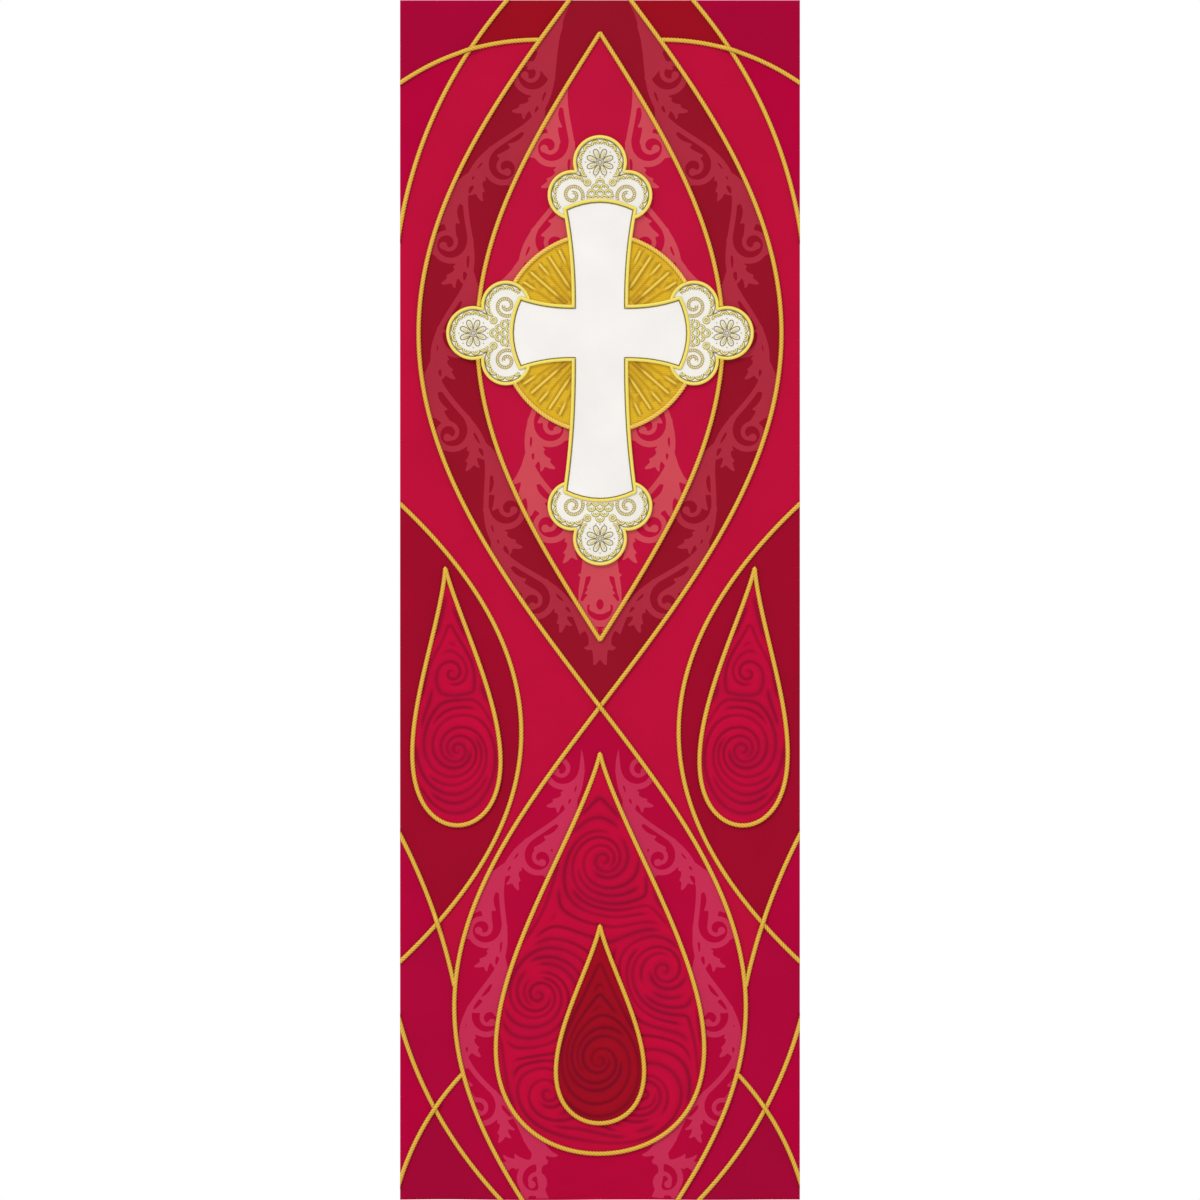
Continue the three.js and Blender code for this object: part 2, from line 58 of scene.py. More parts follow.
bpy.ops.object.light_add(type="SUN", location=studio["keyPlace"])
key = bpy.context.object
key.rotation_euler = (math.radians(studio["keyTilt"]), 0, math.radians(studio["keyTurn"]))
key.data.energy = studio["keyStrength"]
key.data.angle = math.radians(studio["keySoftness"])

# The sky lights a flat matt cloth to its own colour, and the key adds this much more.
keyFacing = math.sin(math.radians(studio["keyTilt"])) * math.cos(math.radians(studio["keyTurn"]))
lightShare = 1 + studio["keyStrength"] * keyFacing / math.pi


def linear(hexText):
    values = [int(hexText[i:i + 2], 16) / 255 for i in (0, 2, 4)]
    flat = [v / 12.92 if v <= 0.04045 else ((v + 0.055) / 1.055) ** 2.4 for v in values]
    return [v / lightShare for v in flat] + [1.0]


def addNode(tree, kind, inputs=None, **settings):
    node = tree.nodes.new(kind)
    for name, value in settings.items():
        setattr(node, name, value)
    for name, value in (inputs or {}).items():
        if isinstance(value, bpy.types.NodeSocket):
            tree.links.new(value, node.inputs[name])
        else:
            node.inputs[name].default_value = value
    return node


world = bpy.data.worlds.new("softbox")
world.use_nodes = True
world.node_tree.nodes["Background"].inputs["Color"].default_value = (1, 1, 1, 1)
world.node_tree.nodes["Background"].inputs["Strength"].default_value = 1.0
bpy.context.scene.world = world

print("camera and light are set")

# Plan geometry: points are (x, z) on the banner's face.
banner = {"width": 600.0, "height": 1800.0, "hem": 30.0}
waves = {"depth": 2.8, "growth": 1.3, "length": 262.0, "drift": 0.9, "slowShare": 0.45, "slowLength": 415.0}
# back and front of each layer, above the ground cloth's face
layer = {
    "damask": (0.3, 1.3), "panel": (1.6, 2.6), "disc": (2.9, 3.9), "cross": (4.2, 5.4), "heart": (4.2, 5.2),
}
ogee = {"topNode": 60.0, "waistNode": -1060.0, "bottomNode": -1960.0, "upperHalf": 272.0, "overlap": 6}
panel = {"top": -50.0, "bottom": -960.0, "half": 184.0}


def hang(x, z):
    drop = np.maximum(0, -z / banner["height"])
    quick = np.sin(2 * np.pi * x / waves["length"] + waves["drift"] * drop)
    slow = np.sin(2 * np.pi * x / waves["slowLength"] - waves["drift"])
    return waves["depth"] * drop ** waves["growth"] * (quick + waves["slowShare"] * slow)


def placed(points, heights):
    # metres in the frame, from plan points and heights above the ground's face
    x, z = points[:, 0], points[:, 1]
    return np.column_stack([x, hang(x, z) - heights, z]) / 1000


def strandX(side, z):
    upper = ogee["topNode"] - ogee["waistNode"]
    lower = ogee["waistNode"] - ogee["bottomNode"]
    above = -side * ogee["upperHalf"] * np.sin(np.pi * (ogee["topNode"] - z) / upper)
    below = side * ogee["upperHalf"] * lower / upper * np.sin(np.pi * (ogee["waistNode"] - z) / lower)
    return np.where(z > ogee["waistNode"], above, below)


def strandPath(side, top, bottom, step=2.0):
    z = np.linspace(top, bottom, int(round((top - bottom) / step)) + 1)
    return np.column_stack([strandX(side, z), z])


def panelHalfAt(z):
    share = np.clip((panel["top"] - z) / (panel["top"] - panel["bottom"]), 0, 1)
    return panel["half"] * np.sin(np.pi * share)


def panelPath(fromTurn, toTurn, steps=480):
    # a turn of 0 is the top point, 1 the bottom point and 2 the top again
    turn = fromTurn + (toTurn - fromTurn) * np.arange(steps + 1) / steps
    way = np.abs(turn)
    z = panel["top"] + (panel["bottom"] - panel["top"]) * (1 - np.abs(1 - way))
    x = np.sign(turn) * np.sign(1 - way) * panel["half"] * np.abs(np.sin(np.pi * way))
    return np.column_stack([x, z])


def polar(centre, radius, angles):
    return np.column_stack([centre[0] + radius * np.cos(angles), centre[1] + radius * np.sin(angles)])


def ringAngles(count):
    return 2 * np.pi * np.arange(count) / count


def smoothStep(low, high, value):
    share = np.clip((value - low) / (high - low), 0, 1)
    return share * share * (3 - 2 * share)


def eachEnd(path, closed):
    return (path, np.roll(path, -1, axis=0)) if closed else (path[:-1], path[1:])


def densify(path, step, closed=True):
    pieces = []
    for start, end in zip(*eachEnd(path, closed)):
        count = max(1, int(np.ceil(np.hypot(*(end - start)) / step)))
        pieces.append(start + (end - start) * (np.arange(count) / count)[:, None])
    return np.vstack(pieces if closed else pieces + [path[-1:]])


def evenly(path, step, closed=False):
    points = np.vstack([path, path[:1]]) if closed else path
    lengths = np.hypot(*np.diff(points[:, :2], axis=0).T)
    along = np.concatenate([[0], np.cumsum(lengths)])
    spots = np.linspace(0, along[-1], max(3, int(round(along[-1] / step))) + 1)
    if closed:
        spots = spots[:-1]
    return np.column_stack([np.interp(spots, along, points[:, i]) for i in range(points.shape[1])])


def unit(ways):
    return ways / np.maximum(np.hypot(*ways.T), 1e-6)[:, None]


def facingOf(angle):
    return np.array([math.cos(angle), math.sin(angle)])


def headings(line, closed=False):
    return unit(np.roll(line, -1, axis=0) - np.roll(line, 1, axis=0) if closed else np.gradient(line, axis=0))


def leftOf(way):
    return np.column_stack([-way[:, 1], way[:, 0]])


def inChunks(function, points, size=3000):
    return np.concatenate([function(points[i:i + size]) for i in range(0, len(points), size)])


def isInside(points, outline):
    a, b = eachEnd(outline, True)

    def test(some):
        x, z = some[:, :1], some[:, 1:2]
        crosses = (a[:, 1] > z) != (b[:, 1] > z)
        fall = np.where(b[:, 1] == a[:, 1], 1e-9, b[:, 1] - a[:, 1])
        at = a[:, 0] + (z - a[:, 1]) * (b[:, 0] - a[:, 0]) / fall
        return (crosses & (x < at)).sum(axis=1) % 2 == 1

    return inChunks(test, points)


def distanceTo(points, path, closed=True):
    a, b = eachEnd(path, closed)
    way = b - a
    size = np.maximum((way ** 2).sum(axis=1), 1e-9)

    def test(some):
        off = some[:, None, :] - a
        share = np.clip((off * way).sum(axis=2) / size, 0, 1)
        return np.sqrt(((off - share[:, :, None] * way) ** 2).sum(axis=2).min(axis=1))

    return inChunks(test, points)


def depthIn(points, outline):
    return np.where(isInside(points, outline), 1, -1) * distanceTo(points, outline)


def hexPoints(outline, pitch):
    low, high = outline.min(axis=0), outline.max(axis=0)
    rows = np.arange(low[1] + pitch / 2, high[1], pitch * 0.866)
    across = np.arange(low[0], high[0], pitch)
    shifts = [(i % 2) * pitch / 2 for i in range(len(rows))]
    return np.vstack([np.column_stack([across + s, np.full(len(across), z)]) for s, z in zip(shifts, rows)])


def fillPoints(outline, pitch, room):
    spots = hexPoints(outline, pitch)
    return spots[depthIn(spots, outline) > room]


def offsetOutline(outline, room):
    # outwards for an outline that runs counter-clockwise
    before = unit(outline - np.roll(outline, 1, axis=0))
    way = unit(before + unit(np.roll(outline, -1, axis=0) - outline))
    stretch = room / np.maximum(0.3, (way * before).sum(axis=1))
    return outline - leftOf(way) * stretch[:, None]


def mirrored(path):
    return path * np.array([-1.0, 1.0])


def ogeeOutline(top, bottom):
    right = strandPath(1, top, bottom)
    right[:, 0] = np.abs(right[:, 0])
    return np.vstack([mirrored(right), right[::-1]])


flameShape = {"slim": 0.25, "power": 0.55, "widest": 0.745, "spread": 0.5}
flames = {
    "centre": {"x": 0, "top": -1130, "bottom": -1730, "half": 156, "lean": 0},
    "heart": {"x": 0, "top": -1388, "bottom": -1684, "half": 66, "lean": 0},
    "left": {"x": -214, "top": -852, "bottom": -1238, "half": 66, "lean": -18},
    "right": {"x": 214, "top": -852, "bottom": -1238, "half": 66, "lean": 18},
}


def flameProfile(along):
    slim = flameShape["slim"]
    return along * (slim + (1 - slim) * along ** flameShape["power"]) * np.sqrt(np.maximum(0, 1 - along))


def flameHalfAt(flame, along):
    return flame["half"] * flameProfile(along) / flameProfile(flameShape["widest"])


def flameOutline(flame, steps=240):
    turn = ringAngles(steps)
    along = np.sin((turn + flameShape["spread"] * np.sin(turn)) / 2) ** 2
    x = flame["x"] + np.where(turn <= np.pi, -1, 1) * flameHalfAt(flame, along)
    z = flame["top"] + (flame["bottom"] - flame["top"]) * along
    return np.column_stack([x + flame["lean"] * (1 - along) ** 2, z])


cross = {"x": 0.0, "z": -500.0, "neck": 40.0, "flare": 53.0, "flarePower": 2.2, "bulge": 13.0, "seamGap": 0.4}
arms = {
    "right": {"x": 1, "z": 0, "length": 120.0}, "bottom": {"x": 0, "z": -1, "length": 238.0},
    "left": {"x": -1, "z": 0, "length": 120.0}, "top": {"x": 0, "z": 1, "length": 186.0},
}
bud = {
    "seat": 12, "core": 42, "endOffset": 58, "endLobe": 38,
    "sideOffset": 42, "sideLobe": 35, "sideAngle": 1.36,
}


def fromArm(arm, out, across):
    return np.column_stack([
        cross["x"] + arm["x"] * out - arm["z"] * across,
        cross["z"] + arm["z"] * out + arm["x"] * across,
    ])


def crossOutline(sideSteps=12, capSteps=8):
    sides = np.arange(sideSteps + 1) / sideSteps
    caps = 1 - 2 * np.arange(1, capSteps) / capSteps
    parts = []
    for arm in arms.values():
        half = cross["neck"] + (cross["flare"] - cross["neck"]) * sides ** cross["flarePower"]
        out = cross["neck"] + (arm["length"] - cross["neck"]) * sides
        parts.append(fromArm(arm, out, half))
        parts.append(fromArm(arm, arm["length"] + cross["bulge"] * (1 - caps ** 2), cross["flare"] * caps))
        parts.append(fromArm(arm, out[:0:-1], -half[:0:-1]))
    return np.vstack(parts)


def budReach(angle, inset=0.0):
    reach = np.full(len(angle), bud["core"] - inset)
    lobes = [(0, bud["endOffset"], bud["endLobe"])]
    lobes += [(way * bud["sideAngle"], bud["sideOffset"], bud["sideLobe"]) for way in (1, -1)]
    for turn, offset, radius in lobes:
        inside = (radius - inset) ** 2 - (offset * np.sin(angle - turn)) ** 2
        lobe = offset * np.cos(angle - turn) + np.sqrt(np.maximum(0, inside))
        reach = np.where(inside > 0, np.maximum(reach, lobe), reach)
    return reach


def onArm(arm, path):
    return fromArm(arm, arm["length"] + bud["seat"] + path[:, 0], path[:, 1])


def budOutline(arm, steps=240):
    angle = 2 * np.pi * (np.arange(steps) + 0.5) / steps - np.pi
    return onArm(arm, polar((0, 0), budReach(angle), angle))


disc = {"x": 0.0, "z": -500.0, "radius": 150.0, "cordInset": 1.5, "steps": 216}
whiteCross = crossOutline()
whiteBuds = {name: budOutline(arm) for name, arm in arms.items()}
whiteOutlines = [whiteCross, *whiteBuds.values()]
discOutline = polar((disc["x"], disc["z"]), disc["radius"], ringAngles(disc["steps"]))
panelOutline = panelPath(0, 2)[:-1][::-1]
flameOutlines = {name: flameOutline(flame) for name, flame in flames.items()}
damaskUpper = ogeeOutline(-1, ogee["waistNode"] + ogee["overlap"])
damaskLower = ogeeOutline(ogee["waistNode"] - ogee["overlap"], -banner["height"] + 1)


# Mesh making

def triangulate(points, edges, rimCount):
    coordinates = [Vector(p) for p in points.tolist()]
    found = delaunay_2d_cdt(coordinates, edges, [list(range(rimCount))], 1, 1e-4, True)
    flat = np.array([tuple(v) for v in found[0]])
    faces = np.array(found[2], dtype=np.int64)
    where = {old: new for new, olds in enumerate(found[3]) for old in olds}
    rim = np.array([where[i] for i in range(rimCount)])
    # a face that runs against the rim lies outside it, however thin it is
    starts, ends, size = faces, np.roll(faces, -1, axis=1), len(flat)
    rimEdges = rim * size + np.roll(rim, -1)
    along = np.isin(starts * size + ends, rimEdges).any(axis=1)
    against = np.isin(ends * size + starts, rimEdges).any(axis=1)
    inside = isInside(flat[faces].mean(axis=1), points[:rimCount])
    return flat, faces[(along | inside) & ~against], rim


def loopEdges(count):
    return [(i, (i + 1) % count) for i in range(count)]


def lineEdges(start, count):
    return [(start + i, start + i + 1) for i in range(count - 1)]


def band(first, second):
    # two triangles for each step round a pair of rings
    firstNext, secondNext = np.roll(first, -1), np.roll(second, -1)
    return [np.column_stack([first, second, secondNext]), np.column_stack([first, secondNext, firstNext])]


def tubeCorners(count, sides, closed):
    # four points for each face between the rings of a tube
    ring, k = np.divmod(np.arange((count if closed else count - 1) * sides), sides)
    nextRing, nextK = (ring + 1) % count, (k + 1) % sides
    return [r * sides + i for r, i in ((ring, k), (ring, nextK), (nextRing, nextK), (nextRing, k))]


def treeOf(points):
    tree = KDTree(len(points))
    for i, (x, z) in enumerate(points):
        tree.insert((x, z, 0), i)
    tree.balance()
    return tree


def packed(values, kind=np.float32):
    return np.ascontiguousarray(values, dtype=kind).ravel()


def camel(node):
    first, *words = node.split("_")
    return first + "".join(word.capitalize() for word in words)


def newPiece(name, vertices, faces, material, sharp=40):
    mesh = bpy.data.meshes.new(name)
    mesh.vertices.add(len(vertices))
    mesh.vertices.foreach_set("co", packed(vertices))
    mesh.loops.add(faces.size)
    mesh.loops.foreach_set("vertex_index", packed(faces, np.int32))
    mesh.polygons.add(len(faces))
    mesh.polygons.foreach_set("loop_start", np.arange(0, faces.size, 3, dtype=np.int32))
    mesh.update(calc_edges=True)
    mesh.validate()
    mesh.shade_smooth()
    mesh.set_sharp_from_angle(angle=math.radians(sharp))
    mesh.materials.append(material)
    piece = bpy.data.objects.new(name, mesh)
    bpy.context.scene.collection.objects.link(piece)
    return piece


def paint(piece, name, values, domain="POINT"):
    # values run from the mesh's first points or corners, and the rest stay 0
    kind, field = ("FLOAT", "value") if values.ndim == 1 else ("FLOAT_COLOR", "color")
    attribute = piece.data.attributes.new(name, kind, domain)
    whole = np.zeros((len(attribute.data), *values.shape[1:]))
    whole[:len(values)] = values
    attribute.data.foreach_set(field, packed(whole))


def signedArea(outline):
    x, z = outline.T
    return 0.5 * float((x * np.roll(z, -1) - np.roll(x, -1) * z).sum())


backMesh = {"pitch": 20, "room": 7}


def clothPiece(node, outline, layerName, material, inner, innerEdges=(), relief=None, name=None):
    # a cloth with its relief on the front, a sparse back and walls between their rims
    back, front = layer[layerName]
    outline = outline if signedArea(outline) > 0 else outline[::-1]
    count = len(outline)
    edges = loopEdges(count) + [(count + a, count + b) for a, b in innerEdges]
    flat, faces, rim = triangulate(np.vstack([outline, inner]), edges, count)
    sparse = fillPoints(outline, backMesh["pitch"], backMesh["room"])
    backFlat, backFaces, backRim = triangulate(np.vstack([outline, sparse]), loopEdges(count), count)
    rise = relief(flat) if relief else 0
    vertices = np.vstack([placed(flat, front + rise), placed(backFlat, np.full(len(backFlat), back))])
    walls = band(rim, backRim + len(flat))
    allFaces = np.vstack([faces, backFaces[:, ::-1] + len(flat), *walls])
    piece = newPiece(name or camel(node), vertices, allFaces, material)
    stands(piece, node)
    return piece, flat, faces


# Materials. A colour is the one that the eye sees in flat light, and pattern sizes are metres.
# plain weave cotton, matt, whose threads just show close by; 0.7 mm threads are drawn at 1.4 mm
cotton = {
    "thread": 0.0014, "bump": 0.25, "mottle": 0.09, "mottleAmount": 0.035, "roughness": 0.9, "specular": 0.04,
}
whiteCotton = {**cotton, "bump": 0.12}
# smooth bleached linen, under the lace stitches
laceLinen = {**cotton, "bump": 0.15}
# the same cotton, quilted: painted shade darkens it down its channels, and a little beside them
quiltedCotton = {**cotton, "bump": 0.2, "mottle": 0.03, "mottleAmount": 0.03, "roughness": 0.85}
damaskWeave = {
    "rib": 0.0016, "float": 0.0012, "bump": 0.2, "relief": 0.0003,
    "mottle": 0.12, "mottleAmount": 0.04, "roughness": 0.7, "specular": 0.05,
}
# the bar colour is a painted highlight on the raised gilt rays' crests; the line colour is partly stitching
# and partly painted shade on the rays' slopes
tissue = {
    "low": "DDAF0C", "high": "E9BC16", "line": "A87A08", "bar": "F2CE4A", "strip": 0.0032, "thread": 0.0015,
    "bump": 0.4, "mottle": 0.02, "mottleAmount": 0.025, "roughness": 0.55, "specular": 0.3, "metallic": 0.25,
}
# wrap is the share of a turn that one gilt strip takes, and stitch the pitch of the satin stitches
gimp = {"wrap": 0.06, "stitch": 0.0011, "bump": 0.35, "relief": 0.0003, "roughness": 0.42, "specular": 0.4}
# stranded silk: smooth, with a low shine, a little uneven in colour
silk = {"mottle": 0.002, "mottleAmount": 0.1, "roughness": 0.5, "specular": 0.2}
metalThread = {**silk, "metallic": 0.05}
matt = {"mottle": 0.3, "mottleAmount": 0.02, "roughness": 0.9, "specular": 0.05}


def newMaterial(name):
    material = bpy.data.materials.new(name)
    material.use_nodes = True
    tree = material.node_tree
    place = addNode(tree, "ShaderNodeTexCoord").outputs["Object"]
    return material, tree, place


def painted(tree, base, *covers):
    # each cover is the name of a painted share and the colour that it brings
    for name, colour in covers:
        share = addNode(tree, "ShaderNodeAttribute", attribute_name=name).outputs["Fac"]
        mix = addNode(tree, "ShaderNodeMix", {0: share, 6: base, 7: linear(colour)}, data_type="RGBA")
        base = mix.outputs[2]
    return base


def mottled(tree, colour, place, look):
    amount = look["mottleAmount"]
    noise = addNode(tree, "ShaderNodeTexNoise", {"Vector": place, "Scale": 1 / look["mottle"], "Detail": 3.0})
    level = addNode(tree, "ShaderNodeMapRange", {
        "Value": noise.outputs["Fac"], "From Min": 0.3, "From Max": 0.7,
        "To Min": 1 - amount, "To Max": 1 + amount,
    }).outputs["Result"]
    grey = addNode(tree, "ShaderNodeCombineColor", {"Red": level, "Green": level, "Blue": level})
    return addNode(tree, "ShaderNodeMix", {0: 1.0, 6: colour, 7: grey.outputs["Color"]},
                   data_type="RGBA", blend_type="MULTIPLY").outputs[2]


def threads(tree, place, direction, pitch):
    # a wave texture repeats every 0.314 / scale
    return addNode(tree, "ShaderNodeTexWave", {"Vector": place, "Scale": 0.314 / pitch},
                   bands_direction=direction).outputs["Fac"]


def weave(tree, place, look, depth=0.0004):
    warp, weft = (threads(tree, place, direction, look["thread"]) for direction in "XZ")
    crossed = addNode(tree, "ShaderNodeMath", {0: warp, 1: weft}, operation="MULTIPLY").outputs[0]
    return addNode(tree, "ShaderNodeBump", {"Height": crossed, "Strength": look["bump"], "Distance": depth})


def finish(tree, colour, look, surface=None):
    shader = tree.nodes["Principled BSDF"]
    tree.links.new(colour, shader.inputs["Base Color"])
    shader.inputs["Roughness"].default_value = look["roughness"]
    shader.inputs["Specular IOR Level"].default_value = look["specular"]
    shader.inputs["Metallic"].default_value = look.get("metallic", 0.0)
    if surface:
        tree.links.new(surface.outputs["Normal"], shader.inputs["Normal"])


# Cotton, linen or silk of one look. Without a colour of its own it takes the painted patches' colours.
def plainStuff(name, look, colour=None, *covers):
    material, tree, place = newMaterial(name)
    if colour:
        base = painted(tree, linear(colour), *covers)
    else:
        base = addNode(tree, "ShaderNodeAttribute", attribute_name="patch").outputs["Color"]
    base = mottled(tree, base, place, look)
    finish(tree, base, look, weave(tree, place, look) if "thread" in look else None)
    return material


# Tone-on-tone damask: a ribbed matt ground and a smooth satin figure that looks lighter.
# Its 0.5 mm ribs and floats are drawn at 1.6 and 1.2 mm.
def damaskCloth(name, ground, figure):
    material, tree, place = newMaterial(name)
    base = mottled(tree, painted(tree, linear(ground), ("figure", figure)), place, damaskWeave)
    shape = addNode(tree, "ShaderNodeAttribute", attribute_name="figure").outputs["Fac"]
    ribs = threads(tree, place, "Z", damaskWeave["rib"])
    floats = threads(tree, place, "DIAGONAL", damaskWeave["float"])
    height = addNode(tree, "ShaderNodeMix", {0: shape, 2: ribs, 3: floats}).outputs[0]
    surface = {"Height": height, "Strength": damaskWeave["bump"], "Distance": damaskWeave["relief"]}
    finish(tree, base, damaskWeave, addNode(tree, "ShaderNodeBump", surface))
    return material


# Woven gold tissue: flat metal strip over a yellow core, soft shine, fine cross lines.
def goldTissue(name):
    material, tree, place = newMaterial(name)
    strips = threads(tree, place, "Z", tissue["strip"])
    base = addNode(tree, "ShaderNodeMix", {0: strips, 6: linear(tissue["low"]), 7: linear(tissue["high"])},
                   data_type="RGBA").outputs[2]
    # painted dark lines, partly painted shade, and a painted highlight on the raised gilt rays
    base = painted(tree, mottled(tree, base, place, tissue), ("line", tissue["line"]), ("bar", tissue["bar"]))
    finish(tree, base, tissue, weave(tree, place, tissue))
    return material


# Twisted gimp cord: gilt strip round a cotton core, painted brighter on the crown as a painted highlight, and
# painted darker brown on its sides and where the plies dip, as painted shade.
# A stitched edging has the same gilt laid straight across.
def giltCord(name, crown, side, dipShade, metallic, stitched=False):
    material, tree, _ = newMaterial(name)
    thread = addNode(tree, "ShaderNodeUVMap", uv_map="thread").outputs["UV"]
    # the side colour is painted shade, the crown colour a painted highlight, and the dip colour painted shade
    # in the ply valleys
    base = painted(tree, linear(side), ("crown", crown), ("valley", dipShade))
    lines = threads(tree, thread, *(("Y", gimp["stitch"]) if stitched else ("X", gimp["wrap"])))
    surface = {"Height": lines, "Strength": gimp["bump"], "Distance": gimp["relief"]}
    finish(tree, base, {**gimp, "metallic": metallic}, addNode(tree, "ShaderNodeBump", surface))
    return material


materials = {
    "ground": plainStuff("crimsonCotton", cotton),
    "damask_upper": damaskCloth("darkRedDamask", "960C24", "AF2A3E"),
    "damask_lower": damaskCloth("magentaDamask", "B60038", "C92E55"),
    "centre_panel": damaskCloth("crimsonDamask", "BE0C39", "D04A56"),
    # the quilted cloths' two darker colours are painted shade: down the channels, and on the slopes beside
    # some of them
    "quilt": plainStuff(
        "quiltedCrimsonCotton", quiltedCotton, "C40A39", ("tone", "AE0C37"), ("grooveShade", "960B2E"),
    ),
    "darkQuilt": plainStuff(
        "quiltedDarkCotton", quiltedCotton, "A10C20", ("tone", "940D24"), ("grooveShade", "800A20"),
    ),
    "disc": goldTissue("goldTissue"),
    "white": plainStuff("whiteCotton", whiteCotton, "F6F3F0"),
    "lace": plainStuff("laceLinen", laceLinen, "F3F0E8"),
    # each cord's colours: a painted highlight on its crown, painted shade on its sides and in its ply valleys
    "goldCord": giltCord("gimpCord", "EEBE38", "BC821C", "8A5410", 0.2),
    "rimCord": giltCord("rimGimpCord", "FACF54", "CC9832", "9C6A1C", 0.2),
    "paleCord": giltCord("satinStitchEdging", "F6E264", "CDB340", "8F8330", 0.1, stitched=True),
    "oliveThread": plainStuff("oliveGoldThread", silk, "94823C"),
    "paleThread": plainStuff("paleYellowThread", silk, "F3E58E"),
    "goldThread": plainStuff("goldThread", metalThread, "C4AC34"),
    "hemThread": plainStuff("crimsonThread", silk, "A80A33"),
}
print("materials are made")

pieces = {}


def stands(piece, node):
    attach(piece, "root")
    if node:
        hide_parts(node)
    pieces[piece.name] = piece


# The ground: patches of plain cloth under the cords' lines, hems turned to the back.
groundCords = {
    "shoulder": {"from": (306, -386), "to": (132, 8), "bow": -34, "stops": False},
    "brow": {"from": (84, -60), "to": (310, -132), "bow": 20, "stops": True},
    "bay": {"from": (308, -748), "to": (308, -1450), "bow": -190, "stops": False},
    "hip": {"from": (306, -1240), "to": (204, -1566), "bow": -16, "stops": True},
    "knee": {"from": (310, -1492), "to": (142, -1806), "bow": 26, "stops": False},
    "foot": {"from": (196, -1600), "to": (308, -1800), "bow": 16, "stops": True},
}


def bowedPath(cord, samples=240, step=1.0):
    start, end = np.array(cord["from"], float), np.array(cord["to"], float)
    way = end - start
    leftwards = np.array([-way[1], way[0]]) / np.hypot(*way) * 2 * cord["bow"]
    middle = (start + end) / 2 + leftwards
    share = np.linspace(0, 1, samples)[:, None]
    curve = (1 - share) ** 2 * start + 2 * share * (1 - share) * middle + share ** 2 * end
    return evenly(curve, step)


groundRoutes = {name: bowedPath(cord) for name, cord in groundCords.items()}
groundPaint = {
    "main": "BF0E3A", "corner": "A80436", "underCorner": "B5023A", "brow": "9C0D1F",
    "bay": "A00A2A", "bayHip": "B3043A", "hip": "B0063A", "knee": "A50636", "foot": "B6023A",
}
# a cord's patch is closed by points off the cloth, given as steps of this size from the cord's ends
beyondCloth = 420.0
patchCorners = {
    "shoulder": lambda start, end, far: [(end[0], far), (far, far), (far, start[1])],
    "brow": lambda start, end, far: [(far, end[1]), (far, far), (0, far), (0, start[1])],
    "bay": lambda start, end, far: [(far, end[1]), (far, start[1])],
    "hip": lambda start, end, far: [(0, end[1]), (0, end[1] - far), (far, end[1] - far), (far, start[1])],
    "knee": lambda start, end, far: [(end[0], end[1] - far), (far, end[1] - far), (far, start[1])],
    "foot": lambda start, end, far: [(far, end[1]), (far, start[1] + far), (start[0], start[1] + far)],
}


def patchColours(points):
    spots = np.column_stack([np.abs(points[:, 0]), points[:, 1]])
    beyond = {}
    for name, cord in groundCords.items():
        corners = patchCorners[name](cord["from"], cord["to"], beyondCloth)
        beyond[name] = isInside(spots, np.vstack([groundRoutes[name], np.array(corners, float)]))
    shoulder, brow, bay, hip, knee, foot = (beyond[name] for name in groundCords)
    names = np.full(len(points), "main", dtype=object)
    for where, name in (
        (hip, "hip"), (bay, "bay"), (bay & hip, "bayHip"), (knee, "knee"), (knee & foot, "foot"),
        (brow, "brow"), (shoulder & ~brow, "underCorner"), (shoulder & brow, "corner"),
    ):
        names[where] = name
    table = {name: linear(value) for name, value in groundPaint.items()}
    return np.array([table[name] for name in names])


hem = {
    "fold": 1.4, "step": 12.0, "mitre": 2.2, "notch": 0.5, "bends": (36, 72, 108, 144, 180),
    "pitch": 15, "room": 8, "cordPitch": 4.0, "cordRoom": 2.5, "cordThin": 3, "backPitch": 18, "backRoom": 5,
    "stitchIn": 25.5, "stitch": 4.0, "stitchGap": 3.4, "stitchThick": 0.45, "stitchHeight": -2.95,
}
# from the fold to the free edge, and on to the cloth's back: distance in from the banner's edge, and height
hemTurn = ((15, -2.8), (banner["hem"] - 0.5, -2.8), (banner["hem"], -2.5), (banner["hem"] + 0.3, -1.5))
hemSeat = (banner["hem"] + 1.2, -1.4)


def onCloth(points, room):
    x, z = np.abs(points[:, 0]), points[:, 1]
    return points[(x < banner["width"] / 2 - room) & (z < -room) & (z > room - banner["height"])]


